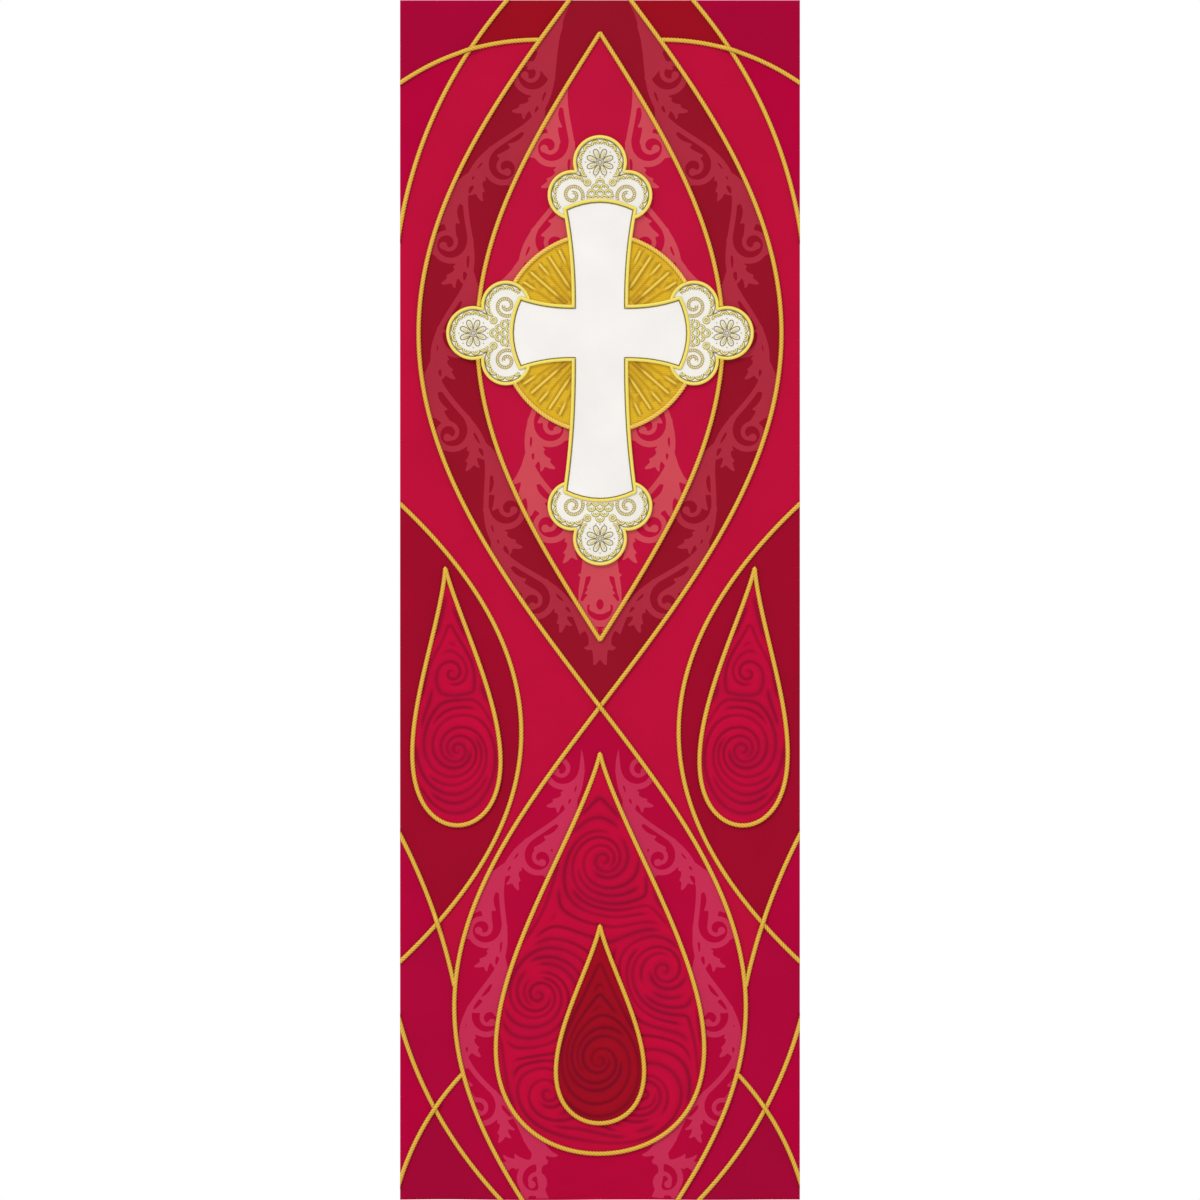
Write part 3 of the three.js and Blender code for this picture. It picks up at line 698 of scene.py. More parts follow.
def groundCloth():
    half = np.array([banner["width"], banner["height"]]) / 2
    middle = np.array([0, -half[1]])
    inner = half - hem["fold"]
    corners = np.array([(-1, -1), (1, -1), (1, 1), (-1, 1)]) * inner
    rim = []
    for start, end in zip(corners, np.roll(corners, -1, axis=0)):
        length = np.hypot(*(end - start))
        mitre = hem["mitre"] / length
        shares = [[0, mitre], np.linspace(0, 1, int(length / hem["step"]))[1:-1], [1 - mitre]]
        rim.append(start + (end - start) * np.concatenate(shares)[:, None])
    rim = np.vstack(rim)
    count = len(rim)
    cuts, cutEdges = [onCloth(hexPoints(rim + middle, hem["pitch"]), hem["room"])], []
    total = len(cuts[0])
    for side in (-1, 1):
        strand = strandPath(side, -3, -banner["height"] + 3, hem["cordPitch"])
        for path in [strand] + [route[::hem["cordThin"]] * (side, 1) for route in groundRoutes.values()]:
            path = onCloth(path, hem["cordRoom"])
            cuts.append(path)
            cutEdges += lineEdges(count + total, len(path))
            total += len(path)
    flat, faces, rimIndex = triangulate(np.vstack([rim + middle, *cuts]), loopEdges(count) + cutEdges, count)

    def ring(inset, height):
        return rim / inner * (half - inset) + middle, np.full(count, height)

    bends = [math.radians(angle) for angle in hem["bends"]]
    rings = [ring(hem["fold"] * (1 - math.sin(a)), -hem["fold"] * (1 - math.cos(a))) for a in bends]
    rings += [ring(inset, height) for inset, height in hemTurn]
    isCorner = np.zeros(count, bool)
    isCorner[[np.argmin(np.hypot(*(rim - corner).T)) for corner in corners]] = True
    for _, heights in rings[len(bends):len(bends) + 3]:
        heights[isCorner] += hem["notch"]
    seat, seatHeights = ring(*hemSeat)
    sparse = fillPoints(seat, hem["backPitch"], hem["backRoom"])
    backFlat, backFaces, backRim = triangulate(np.vstack([seat, sparse]), loopEdges(count), count)
    rings.append((backFlat, np.full(len(backFlat), seatHeights[0])))
    vertices, previous, parts = [placed(flat, np.zeros(len(flat)))], rimIndex, [faces]
    offset = len(flat)
    for points, heights in rings:
        vertices.append(placed(points, heights))
        current = offset + (backRim if points is backFlat else np.arange(count))
        parts += band(previous, current)
        previous, last, offset = current, offset, offset + len(points)
    parts.append(backFaces[:, ::-1] + last)
    vertices, parts = np.vstack(vertices), np.vstack(parts)
    piece = newPiece("groundCloth", vertices, parts, materials["ground"])
    # the patches run on over the first three strips of the fold, and the hem and the back are plain
    colours = np.tile(np.array(linear(groundPaint["main"])), (len(piece.data.polygons), 1))
    shown = len(faces) + 3 * 2 * count
    colours[:shown] = patchColours(1000 * vertices[parts[:shown]].mean(axis=1)[:, [0, 2]])
    paint(piece, "patch", np.repeat(colours, 3, axis=0), "CORNER")
    return piece


ground = groundCloth()
stands(ground, "ground_cloth")
print("the ground cloth is sewn")

# Damask figures: a wandering stem with spirals, lobed leaves and drops, kept as strokes of
# (x, z, half width). The first seven values are shares of the scroll's width.
scroll = {
    "wave": 0.20, "length": 2.35, "stem": 0.028, "curl": 0.29, "curlThick": 0.036, "leaf": 0.92,
    "drop": 0.034, "body": 0.10, "lobe": 0.062, "curlTurns": 1.45, "fade": 30.0, "walk": 0.8,
    "grid": 1.6, "reach": 4.0, "close": 0.55, "margin": 6, "pitch": 9, "room": 4, "bare": 2.2, "rim": 1.2,
    "under": 4,
}
# bend runs evenly along a stroke, and hook grows towards its tip
leafShape = {"bend": 0.5, "hook": 0.8, "lobeBend": -0.25, "lobeHook": 1.25}
spiralShape = {"samples": 5, "shrink": 1.5, "thin": 0.5, "knob": 1.25}
# of a leaf's lobes: place along the rib, side (1 is the outside of its bend), length and spread
leafLobes = (
    (0.16, 1, 0.36, 0.45), (0.34, 1, 0.46, 0.40), (0.55, 1, 0.38, 0.36),
    (0.24, -1, 0.26, 0.60), (0.48, -1, 0.32, 0.42),
)
# on each half wave of the stem: where the spiral, the leaf and the drops grow
growth = {"spiral": 0.16, "leaf": 0.50, "drops": 0.80}
# a leaf's turn away from its stem or spiral, and its bend
stemLeaf, spiralLeaf = (0.35, -1.1), (0.5, -0.9)
# place along a spiral and size of its leaves; distance, turn and length of the drops
spiralLeaves = ((0.08, 0.52), (0.27, 0.36))
drops = ((0.13, -0.55, 0.20), (0.10, 0.35, 0.15))


def ribShape(share):
    return (1 - share) ** 0.85 * (0.33 + 2.7 * share)


def lobeShape(share):
    return (1 - share) ** 0.9 * (1 + 0.9 * share)


def dropShape(share):
    return np.sqrt(np.maximum(0, share)) * (1 - 0.12 * share) * (share > 0.02)


def walk(start, heading, length, bend, curling, thick, shape):
    count = max(5, int(length / scroll["walk"]) + 1)
    share = np.linspace(0, 1, count)
    angle = (heading + bend * share + curling * share ** 2)[:-1]
    x = start[0] + np.concatenate([[0], np.cumsum(np.cos(angle))]) * length / (count - 1)
    z = start[1] + np.concatenate([[0], np.cumsum(np.sin(angle))]) * length / (count - 1)
    return np.column_stack([x, z, thick * shape(share)])


def headingAt(path, i):
    return math.atan2(path[i + 1, 1] - path[i, 1], path[i + 1, 0] - path[i, 0])


def leaf(base, heading, length, side, turns):
    # it grows off its line's heading by the first turn and bends by the second
    heading, bend = heading + side * turns[0], side * turns[1]
    outside = math.copysign(1, bend)
    bends = [leafShape["bend"] * bend, leafShape["hook"] * bend]
    rib = walk(base, heading, length, *bends, scroll["body"] * length, ribShape)
    strokes = [rib]
    for share, way, reach, spread in leafLobes:
        i = int(share * (len(rib) - 1))
        out = -way * outside
        at = headingAt(rib, i) + out * spread
        bends = [leafShape["lobeBend"] * out, leafShape["lobeHook"] * out]
        strokes.append(walk(rib[i], at, reach * length, *bends, scroll["lobe"] * length, lobeShape))
    return strokes


def curl(base, heading, radius, turn):
    normal = heading + turn * math.pi / 2
    centre = base[:2] + radius * facingOf(normal)
    share = np.linspace(0, 1, int(scroll["curlTurns"] * spiralShape["samples"] * radius))
    angle = normal + math.pi + turn * 2 * math.pi * scroll["curlTurns"] * share
    thick = scroll["curlThick"] * radius / scroll["curl"] * (1 - spiralShape["thin"] * share)
    line = np.column_stack([polar(centre, radius * np.exp(-spiralShape["shrink"] * share), angle), thick])
    knob = line[-1:].copy()
    knob[0, 2] = thick[0] * spiralShape["knob"]
    return np.vstack([line, knob])


def scrollwork(path, width, phase, halves):
    # every half wave of the stem carries one spiral, its leaves and two drops
    path = evenly(path, 1.0)
    heading = np.arctan2(np.gradient(path[:, 1]), np.gradient(path[:, 0]))
    angle = phase + np.arange(len(path)) * 2 * np.pi / (scroll["length"] * width)
    shift = scroll["wave"] * width * np.sin(angle)
    x, z = path[:, 0] - np.sin(heading) * shift, path[:, 1] + np.cos(heading) * shift
    stem = np.column_stack([x, z, np.full(len(path), scroll["stem"] * width)])
    heading = np.unwrap(np.arctan2(np.gradient(z), np.gradient(x)))
    fromEnd = np.minimum(np.arange(len(stem)), np.arange(len(stem))[::-1])
    stem[:, 2] *= 0.12 + 0.88 * smoothStep(0, scroll["fade"], fromEnd)
    strokes = [stem]
    first = int(math.floor(angle[0] / math.pi))
    for half in range(first, first + halves):
        side = 1 if half % 2 == 0 else -1
        start, crest, fall = (int(np.searchsorted(angle, (half + at) * math.pi)) for at in growth.values())
        if 0 < start < len(stem) - 1:
            spiral = curl(stem[start], heading[start], scroll["curl"] * width, -side)
            strokes.append(spiral)
            for portion, size in spiralLeaves:
                i = int(portion * len(spiral))
                strokes += leaf(spiral[i], headingAt(spiral, i), size * width, side, spiralLeaf)
        if 0 < crest < len(stem) - 1:
            strokes += leaf(stem[crest], heading[crest], scroll["leaf"] * width, side, stemLeaf)
        if 0 < fall < len(stem) - 1:
            way = heading[fall] + side * math.pi / 2
            thick = scroll["drop"] * width
            for away, turn, size in drops:
                at = (x[fall] + away * width * math.cos(way), z[fall] + away * width * math.sin(way))
                strokes.append(walk(at, way + side * turn, size * width, -0.5 * side, 0, thick, dropShape))
    return strokes + [stroke * np.array([-1.0, 1.0, 1.0]) for stroke in strokes]


def strokeField(strokes, low, high):
    # the distance to the nearest stroke's edge, on a grid of plan points
    pitch, reach = scroll["grid"], scroll["reach"]
    shape = np.ceil((high - low) / pitch).astype(int) + 1
    field = np.full(shape, reach)
    xs, zs = (low[axis] + pitch * np.arange(shape[axis]) for axis in (0, 1))
    for x, z, radius in np.vstack(strokes):
        span = radius + reach
        i0, i1 = np.searchsorted(xs, (x - span, x + span))
        j0, j1 = np.searchsorted(zs, (z - span, z + span))
        if i0 < i1 and j0 < j1:
            away = np.hypot(xs[i0:i1, None] - x, zs[None, j0:j1] - z) - radius
            np.minimum(field[i0:i1, j0:j1], away, out=field[i0:i1, j0:j1])
    # narrow slits close and corners ease
    for axis in (0, 1):
        edged = np.pad(field, [(1, 1) if a == axis else (0, 0) for a in (0, 1)], mode="edge")
        before, at, after = (np.take(edged, range(i, i + field.shape[axis]), axis=axis) for i in range(3))
        field = 0.25 * before + 0.5 * at + 0.25 * after
    return field - scroll["close"]


def sampleField(field, low, points):
    place = (points - low) / scroll["grid"]
    cell = np.clip(np.floor(place).astype(int), 0, np.array(field.shape) - 2)
    u, v = np.clip(place - cell, 0, 1).T
    i, j = cell.T
    lower = field[i, j] * (1 - u) + field[i + 1, j] * u
    upper = field[i, j + 1] * (1 - u) + field[i + 1, j + 1] * u
    return lower * (1 - v) + upper * v


def contourOf(field, low):
    # points where the figure's edge crosses the grid, and the short edges that join them cell by cell
    ids, points, total = [], [], 0
    for axis in (0, 1):
        a = field[:-1, :] if axis == 0 else field[:, :-1]
        b = field[1:, :] if axis == 0 else field[:, 1:]
        crossed = (a < 0) != (b < 0)
        i, j = np.nonzero(crossed)
        spots = np.column_stack([i, j]).astype(float)
        spots[:, axis] += np.clip(a[i, j] / (a[i, j] - b[i, j]), 0.12, 0.88)
        number = np.full(crossed.shape, -1)
        number[i, j] = np.arange(len(i)) + total
        ids.append(number)
        points.append(low + scroll["grid"] * spots)
        total += len(i)
    across, upright = ids
    around = np.stack([across[:, :-1], upright[1:, :], across[:, 1:], upright[:-1, :]])
    count = (around >= 0).sum(axis=0)
    two = np.sort(around[:, count == 2], axis=0)[2:].T
    four = around[:, count == 4]
    return np.vstack(points), np.vstack([two, four[:2].T, four[2:].T])


def damaskPiece(node, damask):
    outline, z = damask["outline"], np.linspace(*damask["span"])
    strokes = scrollwork(np.column_stack([damask["across"](z), z]), *damask["scroll"])
    low, high = outline.min(axis=0) - scroll["margin"], outline.max(axis=0) + scroll["margin"]
    field = strokeField(strokes, low, high)
    points, edges = contourOf(field, low)
    shown = depthIn(points, outline) > scroll["rim"]
    for cover in damask["covers"]:
        shown &= depthIn(points, cover) < scroll["under"]
    edges = edges[shown[edges].all(axis=1)]
    used = np.unique(edges)
    renumber = np.full(len(points), -1)
    renumber[used] = np.arange(len(used))
    coarse = fillPoints(outline, scroll["pitch"], scroll["room"])
    coarse = coarse[np.abs(sampleField(field, low, coarse)) > scroll["bare"]]
    inner = np.vstack([points[used], coarse])
    edges = renumber[edges].tolist()
    piece, flat, faces = clothPiece(node, outline, damask["layer"], materials[node], inner, edges)
    figure = sampleField(field, low, flat[faces].mean(axis=1)) < 0
    paint(piece, "figure", np.repeat(figure.astype(float), 3), "CORNER")


def centreFlameHalf(z):
    flame = flames["centre"]
    return flameHalfAt(flame, np.clip((flame["top"] - z) / (flame["top"] - flame["bottom"]), 0, 1))


# of a scroll's middle line: its top, bottom and samples, and how far out it runs;
# of the scroll: its width, first phase and number of half waves
damasks = {
    "damask_upper": {
        "outline": damaskUpper, "layer": "damask", "covers": [panelOutline], "restsOn": "groundCloth",
        "span": (8, -962, 500), "across": lambda z: (panelHalfAt(z) + np.abs(strandX(1, z))) / 2,
        "scroll": (118.0, 0.62, 9),
    },
    "damask_lower": {
        "outline": damaskLower, "layer": "damask", "covers": [flameOutlines["centre"]],
        "restsOn": "groundCloth", "span": (-1122, -1810, 360),
        "across": lambda z: (centreFlameHalf(z) + np.abs(strandX(1, z))) / 2, "scroll": (112.0, 2.9, 7),
    },
    "centre_panel": {
        "outline": panelOutline, "layer": "panel", "covers": [discOutline, *whiteOutlines],
        "restsOn": "damaskUpper", "span": (-82, -905, 480), "across": lambda z: panelHalfAt(z) * 0.55,
        "scroll": (120.0, 0.62, 7),
    },
}
for node, damask in damasks.items():
    damaskPiece(node, damask)
print("the damasks are laid")

# Quilted flames: channels sewn along one flow, which swirls round a few centres. The cords hide their ends.
quilting = {
    "step": 1.5, "grid": 3.0, "cell": 8, "close": 0.60, "apart": 0.97, "edge": 5.0, "shortest": 24.0,
    "longest": 600, "edgePull": 1.6, "edgeBase": 0.10, "edgeReach": 14, "swirlPull": 3.2, "swirlCore": 0.3,
    "swirlFall": 2.6, "inward": 0.20, "first": 3.4, "firstRoom": 3.0, "smoothings": 8, "rim": 2.6,
    "sample": 0.75, "taper": 18.0, "crest": 1.1, "valley": 3.1, "shade": 2.5, "slope": 5.4,
    "flatRim": 3.0, "rise": 5.0, "spacing": 3.0, "room": 1.6, "slack": 0.45, "filler": 5.4, "fillerRoom": 3,
    "fillerAway": 5.0, "underHeart": 6, "hiddenPitch": 16, "hiddenRoom": 9, "margin": 6, "every": 4,
}
channelRows = (0.0, -1.7, 1.7, -3.4, 3.4)
# line is the room between channels; a swirl is its centre, radius and turn
quilts = {
    "centre": {"layer": "panel", "under": "damaskLower", "line": 13.2, "swirls": [
        (6, -1290, 40, 1), (-92, -1492, 44, -1), (96, -1455, 36, 1), (66, -1640, 40, -1), (-78, -1640, 26, 1),
    ]},
    "heart": {"layer": "heart", "under": "flameCentre", "line": 12.0, "swirls": [(0, -1590, 30, -1)]},
    "right": {"layer": "damask", "under": "groundCloth", "line": 12.0, "swirls": [
        (214, -1125, 36, 1), (222, -1010, 18, -1),
    ]},
    "left": {"layer": "damask", "under": "groundCloth"},
}


def quiltLines(outline, quilt):
    low, high = outline.min(axis=0) - quilting["margin"], outline.max(axis=0) + quilting["margin"]
    pitch, step, cell = quilting["grid"], quilting["step"], quilting["cell"]
    shape = np.ceil((high - low) / pitch).astype(int) + 2
    grid = np.stack(np.meshgrid(*(np.arange(size) for size in shape), indexing="ij"), axis=2).reshape(-1, 2)
    room = depthIn(low + grid * pitch, outline).reshape(shape)
    fields = np.stack([room, *np.gradient(room, pitch)], axis=2)
    swirls, bins, lines = quilt["swirls"], {}, []

    def look(x, z):
        # how far in a spot lies, and the slope of that
        u, v = (x - low[0]) / pitch, (z - low[1]) / pitch
        i, j = int(min(max(u, 0), shape[0] - 2)), int(min(max(v, 0), shape[1] - 2))
        u, v = min(max(u - i, 0), 1), min(max(v - j, 0), 1)
        before, after = (fields[k, j] * (1 - v) + fields[k, j + 1] * v for k in (i, i + 1))
        return before * (1 - u) + after * u

    def flow(x, z):
        # a line has no front, so headings are summed as double angles
        gap, slopeX, slopeZ = look(x, z)
        angle = math.atan2(slopeX, -slopeZ)
        pull = quilting["edgePull"] * math.exp(-max(gap, 0) / quilting["edgeReach"])
        weight = quilting["edgeBase"] + pull
        c, s = weight * math.cos(2 * angle), weight * math.sin(2 * angle)
        for cx, cz, radius, turn in swirls:
            angle = math.atan2(z - cz, x - cx) + turn * (math.pi / 2 - quilting["inward"])
            far = (math.hypot(x - cx, z - cz) / radius) ** quilting["swirlFall"]
            weight = quilting["swirlPull"] / (quilting["swirlCore"] + far)
            c, s = c + weight * math.cos(2 * angle), s + weight * math.sin(2 * angle)
        return 0.5 * math.atan2(s, c), gap

    def spacing(x, z):
        nearest = min(math.hypot(x - cx, z - cz) / radius for cx, cz, radius, _ in swirls)
        return quilt["line"] * (0.72 + 0.28 * min(1, nearest))

    def isClear(x, z, limit):
        reach = int(limit // cell) + 1
        columns, rows = (range(int(at // cell) - reach, int(at // cell) + reach + 1) for at in (x, z))
        spots = (spot for i in columns for j in rows for spot in bins.get((i, j), ()))
        return all((px - x) ** 2 + (pz - z) ** 2 > limit * limit for px, pz in spots)

    def trace(x, z, heading):
        path = []
        while len(path) < quilting["longest"]:
            angle, gap = flow(x + 0.5 * step * math.cos(heading), z + 0.5 * step * math.sin(heading))
            heading = angle if math.cos(angle - heading) > 0 else angle + math.pi
            x, z = x + step * math.cos(heading), z + step * math.sin(heading)
            near = quilting["close"] * spacing(x, z)
            own = path[:-int(1.6 * near / step) - 2]
            if gap < quilting["edge"] or not isClear(x, z, near):
                break
            if any(math.hypot(px - x, pz - z) < near for px, pz in own):
                break
            path.append((x, z))
        return path

    def draw(x, z):
        heading = flow(x, z)[0]
        path = trace(x, z, heading + math.pi)[::-1] + [(x, z)] + trace(x, z, heading)
        if len(path) * step > quilting["shortest"]:
            line = np.array(path)
            for _ in range(quilting["smoothings"]):
                line[1:-1] = 0.5 * line[1:-1] + 0.25 * (line[:-2] + line[2:])
            lines.append(line)
            for px, pz in path:
                bins.setdefault((int(px // cell), int(pz // cell)), []).append((px, pz))

    for cx, cz, _, _ in swirls:
        for x in (cx - quilting["first"], cx + quilting["first"]):
            if isClear(x, cz, quilting["firstRoom"]):
                draw(x, cz)
    # each line then starts its neighbours, one spacing away on both sides
    done = 0
    while done < len(lines):
        line, done = lines[done], done + 1
        for i in range(0, len(line) - 1, quilting["every"]):
            way = (line[i + 1] - line[i]) / max(1e-6, np.hypot(*(line[i + 1] - line[i])))
            gap = spacing(*line[i])
            for side in (-1, 1):
                x, z = line[i] + side * gap * np.array([-way[1], way[0]])
                if look(x, z)[0] > quilting["edge"] + 1 and isClear(x, z, quilting["apart"] * gap):
                    draw(x, z)
    return lines


def quiltPiece(name, quilt, lines):
    outline = densify(flameOutlines[name], quilting["rim"])
    depths, slopeShades, fine = [], [], []
    for number, line in enumerate(lines):
        line = evenly(line, quilting["sample"])
        along = np.arange(len(line)) * quilting["sample"]
        fade = smoothStep(0, quilting["taper"], np.minimum(along, along[-1] - along))
        depths.append((0.10 + 0.90 * fade) * (0.84 + 0.16 * np.sin(along / 31 + 2.1 * number)))
        # how strongly painted shade darkens the slopes beside each channel
        slopeShades.append(fade * (0.5 + 0.5 * np.sin(2.4 * number + along / 47)))
        fine.append(line)
    depths, slopeShades, tree = np.concatenate(depths), np.concatenate(slopeShades), treeOf(np.vstack(fine))

    def nearest(points):
        found = [tree.find((x, z, 0)) for x, z in points]
        return np.array([f[2] for f in found]), np.array([f[1] for f in found])

    def shows(points, under):
        # the heart hides the middle of the centre flame
        whole = name != "centre"
        return np.ones(len(points), bool) if whole else depthIn(points, flameOutlines["heart"]) < under

    points, edges, total = [], [], 0
    for row in channelRows:
        for line in lines:
            line = evenly(line, quilting["spacing"])
            way = np.gradient(line, axis=0)
            line = line + row * leftOf(way) / np.maximum(np.hypot(*way.T), 1e-6)[:, None]
            kept = (depthIn(line, outline) > quilting["room"]) & shows(line, quilting["underHeart"])
            kept &= nearest(line)[0] > abs(row) - quilting["slack"]
            if row == 0:
                number = np.cumsum(kept) - 1
                edges += [(total + a, total + b) for a, b in zip(number[:-1], number[1:]) if b > a >= 0]
            points.append(line[kept])
            total += kept.sum()
    filler = fillPoints(outline, quilting["filler"], quilting["fillerRoom"])
    away = nearest(filler)[0] > quilting["fillerAway"]
    filler = filler[away & shows(filler, quilting["underHeart"])]
    hidden = fillPoints(outline, quilting["hiddenPitch"], quilting["hiddenRoom"])
    points += [filler, hidden[~shows(hidden, quilting["hiddenRoom"])]]

    def fieldsAt(spots):
        away, at = nearest(spots)
        flatten = np.clip((distanceTo(spots, outline) - quilting["flatRim"]) / quilting["rise"], 0, 1)
        if name == "centre":
            flatten *= smoothStep(quilting["underHeart"], -2, depthIn(spots, flameOutlines["heart"]))
        height = quilting["crest"] * flatten * (1 - depths[at] * np.exp(-(away / quilting["valley"]) ** 2))
        # painted shade down each channel's groove, and painted shade on the slopes beside it
        grooveShade = depths[at] * np.exp(-(away / quilting["shade"]) ** 4)
        return height, grooveShade, slopeShades[at] * np.exp(-(away / quilting["slope"]) ** 2)

    material = materials["darkQuilt" if name == "heart" else "quilt"]
    piece, flat, _ = clothPiece(f"flame_{name}", outline, quilt["layer"], material, np.vstack(points), edges,
                                lambda p: fieldsAt(p)[0])
    _, grooveShade, tone = fieldsAt(flat)
    paint(piece, "grooveShade", grooveShade)
    paint(piece, "tone", tone)


for name, quilt in quilts.items():
    if name == "left":
        channels = [mirrored(line) for line in channels]
    else:
        channels = quiltLines(densify(flameOutlines[name], quilting["rim"]), quilt)
    quiltPiece(name, quilt, channels)
print("the flames are quilted")

# The gold disc and its raised rays. Every other ray is gilt from further in.
rays = {
    "count": 48, "inner": 40.0, "outer": 138.0, "width": 5.4, "rise": 1.2, "room": 3.0, "step": 4.0,
    "end": 1.5, "longFrom": 80.0, "shortFrom": 112.0, "fade": 12, "lineAt": 2.3, "lineWidth": 0.9,
    "seamWidth": 1.3, "pitch": 7, "rim": 3, "away": 2.2,
}
# distance from the ray's middle, and share of its rise
rayProfile = ((-2.7, 0.0), (-1.9, 0.8), (-0.8, 1.0), (0.8, 1.0), (1.9, 0.8), (2.7, 0.0))
rayAngles = 2 * np.pi * (np.arange(rays["count"]) + 0.5) / rays["count"]


def alongRay(angle, reach, aside=0.0):
    return np.column_stack([
        disc["x"] + reach * math.cos(angle) - aside * math.sin(angle),
        disc["z"] + reach * math.sin(angle) + aside * math.cos(angle),
    ])


def raySpan(angle):
    # the stretch of a ray that shows beside the white cross
    reach = np.arange(rays["inner"], rays["outer"] + 0.1, 1.0)
    spots = alongRay(angle, reach)
    clear = np.all([depthIn(spots, outline) < -rays["room"] for outline in whiteOutlines], axis=0)
    return (reach[clear][0], reach[clear][-1]) if clear.sum() > 3 * rays["width"] else None


raySpans = [raySpan(angle) for angle in rayAngles]


def rayFields(points):
    across, up = points[:, 0] - disc["x"], points[:, 1] - disc["z"]
    angle = np.mod(np.arctan2(up, across), 2 * np.pi)
    reach = np.hypot(across, up)
    nearest = np.minimum((angle / (2 * np.pi) * rays["count"]).astype(int), rays["count"] - 1)
    aside = reach * np.sin(angle - rayAngles[nearest])
    out = reach * np.cos(angle - rayAngles[nearest])
    spans = np.array([span or (1e3, 0.0) for span in raySpans])[nearest]
    ends = np.clip(np.minimum(out - spans[:, 0], spans[:, 1] - out) / rays["end"], 0, 1)
    lift = np.interp(aside, *np.array(rayProfile).T) * ends
    quarter = rays["count"] // 4
    folded = np.where(nearest // quarter % 2 == 0, nearest % quarter, quarter - 1 - nearest % quarter)
    isLong = folded % 2 == 1
    gilt = np.where(isLong, rays["longFrom"], rays["shortFrom"])
    outer = smoothStep(gilt, gilt + rays["fade"], reach)
    # dark lines along the rays' slopes, partly stitching and partly painted shade, and a dark seam down their
    # middles where they are not gilt; the gilt share is painted brighter with the rise, a painted highlight
    beside = np.exp(-((np.abs(aside) - rays["lineAt"]) / rays["lineWidth"]) ** 2) * (ends > 0)
    seam = np.exp(-(aside / rays["seamWidth"]) ** 2) * (1 - outer) * (ends > 0) * 0.8
    return rays["rise"] * lift, lift ** 2 * outer, np.maximum(beside * np.where(isLong, 1, outer), seam)


def goldDisc():
    points, edges, total = [], [], 0
    for angle, span in zip(rayAngles, raySpans):
        if span is None:
            continue
        first, last, end = *span, rays["end"]
        middle = np.arange(first + rays["step"], last - 3, rays["step"])
        reach = np.concatenate([[first, first + end], middle, [last - end, last]])
        for aside, _ in rayProfile:
            points.append(alongRay(angle, reach, aside))
            edges += lineEdges(total, len(reach))
            total += len(reach)
    near = treeOf(np.vstack(points))
    coarse = fillPoints(discOutline, rays["pitch"], rays["rim"])
    coarse = coarse[np.array([near.find((x, z, 0))[2] > rays["away"] for x, z in coarse])]
    piece, flat, _ = clothPiece("disc", discOutline, "disc", materials["disc"], np.vstack([*points, coarse]),
                                edges, lambda p: rayFields(p)[0], "goldDisc")
    _, bright, line = rayFields(flat)
    # a painted highlight on the raised gilt rays, and dark lines that are partly painted shade
    paint(piece, "bar", bright)
    paint(piece, "line", line)


goldDisc()
print("the disc is rayed")


# The white cross and its four lace ends.
def flatPiece(node, outline, material, pitch=8, room=3):
    return clothPiece(node, outline, "cross", material, fillPoints(outline, pitch, room))[0]


crossBody = flatPiece("cross_body", densify(whiteCross, 5), materials["white"])


def cutBud(arm):
    # the lobed end, cut to lie edge to edge with the white cross
    whole = densify(budOutline(arm), 2)
    free = depthIn(whole, whiteCross) < -cross["seamGap"]
    start = np.nonzero(free & ~np.roll(free, 1))[0][0]
    seam = offsetOutline(densify(whiteCross, 3), -cross["seamGap"])
    return np.vstack([np.roll(whole, -start, axis=0)[:free.sum()], seam[depthIn(seam, whole) > 1]])


lace = {
    "line": 0.60, "core": 1.25, "bead": 1.0, "seat": 0.4, "sunk": 0.2, "sides": 5, "twist": 0.3, "tip": 0.35,
    "step": 1.25, "sharp": 80, "capRoom": 3.7, "shortest": 6, "echo": 3.5, "edging": 3.4, "edgingThick": 0.75,
    "chainInset": 11.2, "chainStep": 0.5, "chainSmooth": 60, "crowd": 11.5,
    "shell": 13.2, "shellOut": 6.6, "shellIn": 3.8, "shellRoom": 2.2, "shellKnot": 1.3, "shellSteps": 25,
    "petals": 8, "petalStart": 4.8, "petalLength": 16.0, "petalHalf": 4.6, "petalCore": (8.0, 17.0),
    "ring": 3.0, "tipBeads": 21.6, "spiralFrom": -2.2, "spiralTurns": 1.4, "spiralOut": 16.6, "spiralIn": 3.4,
    "spiralHalfGap": 1.9, "spiralBeads": 3.3, "fanStart": -5.0, "fanRows": 6, "fanColumns": 4,
    "fanOut": 6.4, "fanIn": 3.8, "fanRow": 8.0, "fanColumn": 12.8, "fanRoom": 22.6, "fanSideRoom": 20.1,
    "fanReach": 27.0,
}


def threadMesh(name, runs, radius, height, material):
    # each run is a path and whether it closes on itself
    vertices, faces, offset, sides = [], [], 0, lace["sides"]
    angles = ringAngles(sides) + lace["twist"]
    fan = np.array([(0, i, i + 1) for i in range(1, sides - 1)])
    for path, closed in runs:
        line = evenly(path, lace["step"], closed)
        count = len(line)
        size = np.full((count, 1), radius)
        if not closed:
            size[[0, -1]] *= lace["tip"]
        right = -leftOf(headings(line, closed))
        spots = line[:, None, :] + (right[:, None, :] * np.cos(angles)[None, :, None]) * size[:, :, None]
        vertices.append(placed(spots.reshape(-1, 2), (height + size * np.sin(angles)).ravel()))
        a, b, c, d = tubeCorners(count, sides, closed)
        faces += [np.column_stack(corners) + offset for corners in ((a, c, b), (a, d, c))]
        if not closed:
            faces.append(np.vstack([fan, fan[:, ::-1] + (count - 1) * sides]) + offset)
        offset += count * sides
    return newPiece(name, np.vstack(vertices), np.vstack(faces), material, lace["sharp"])


knot = {"sides": 7, "rings": ((1.0, -0.3), (0.85, 0.45)), "crown": 0.85, "foot": -0.3}


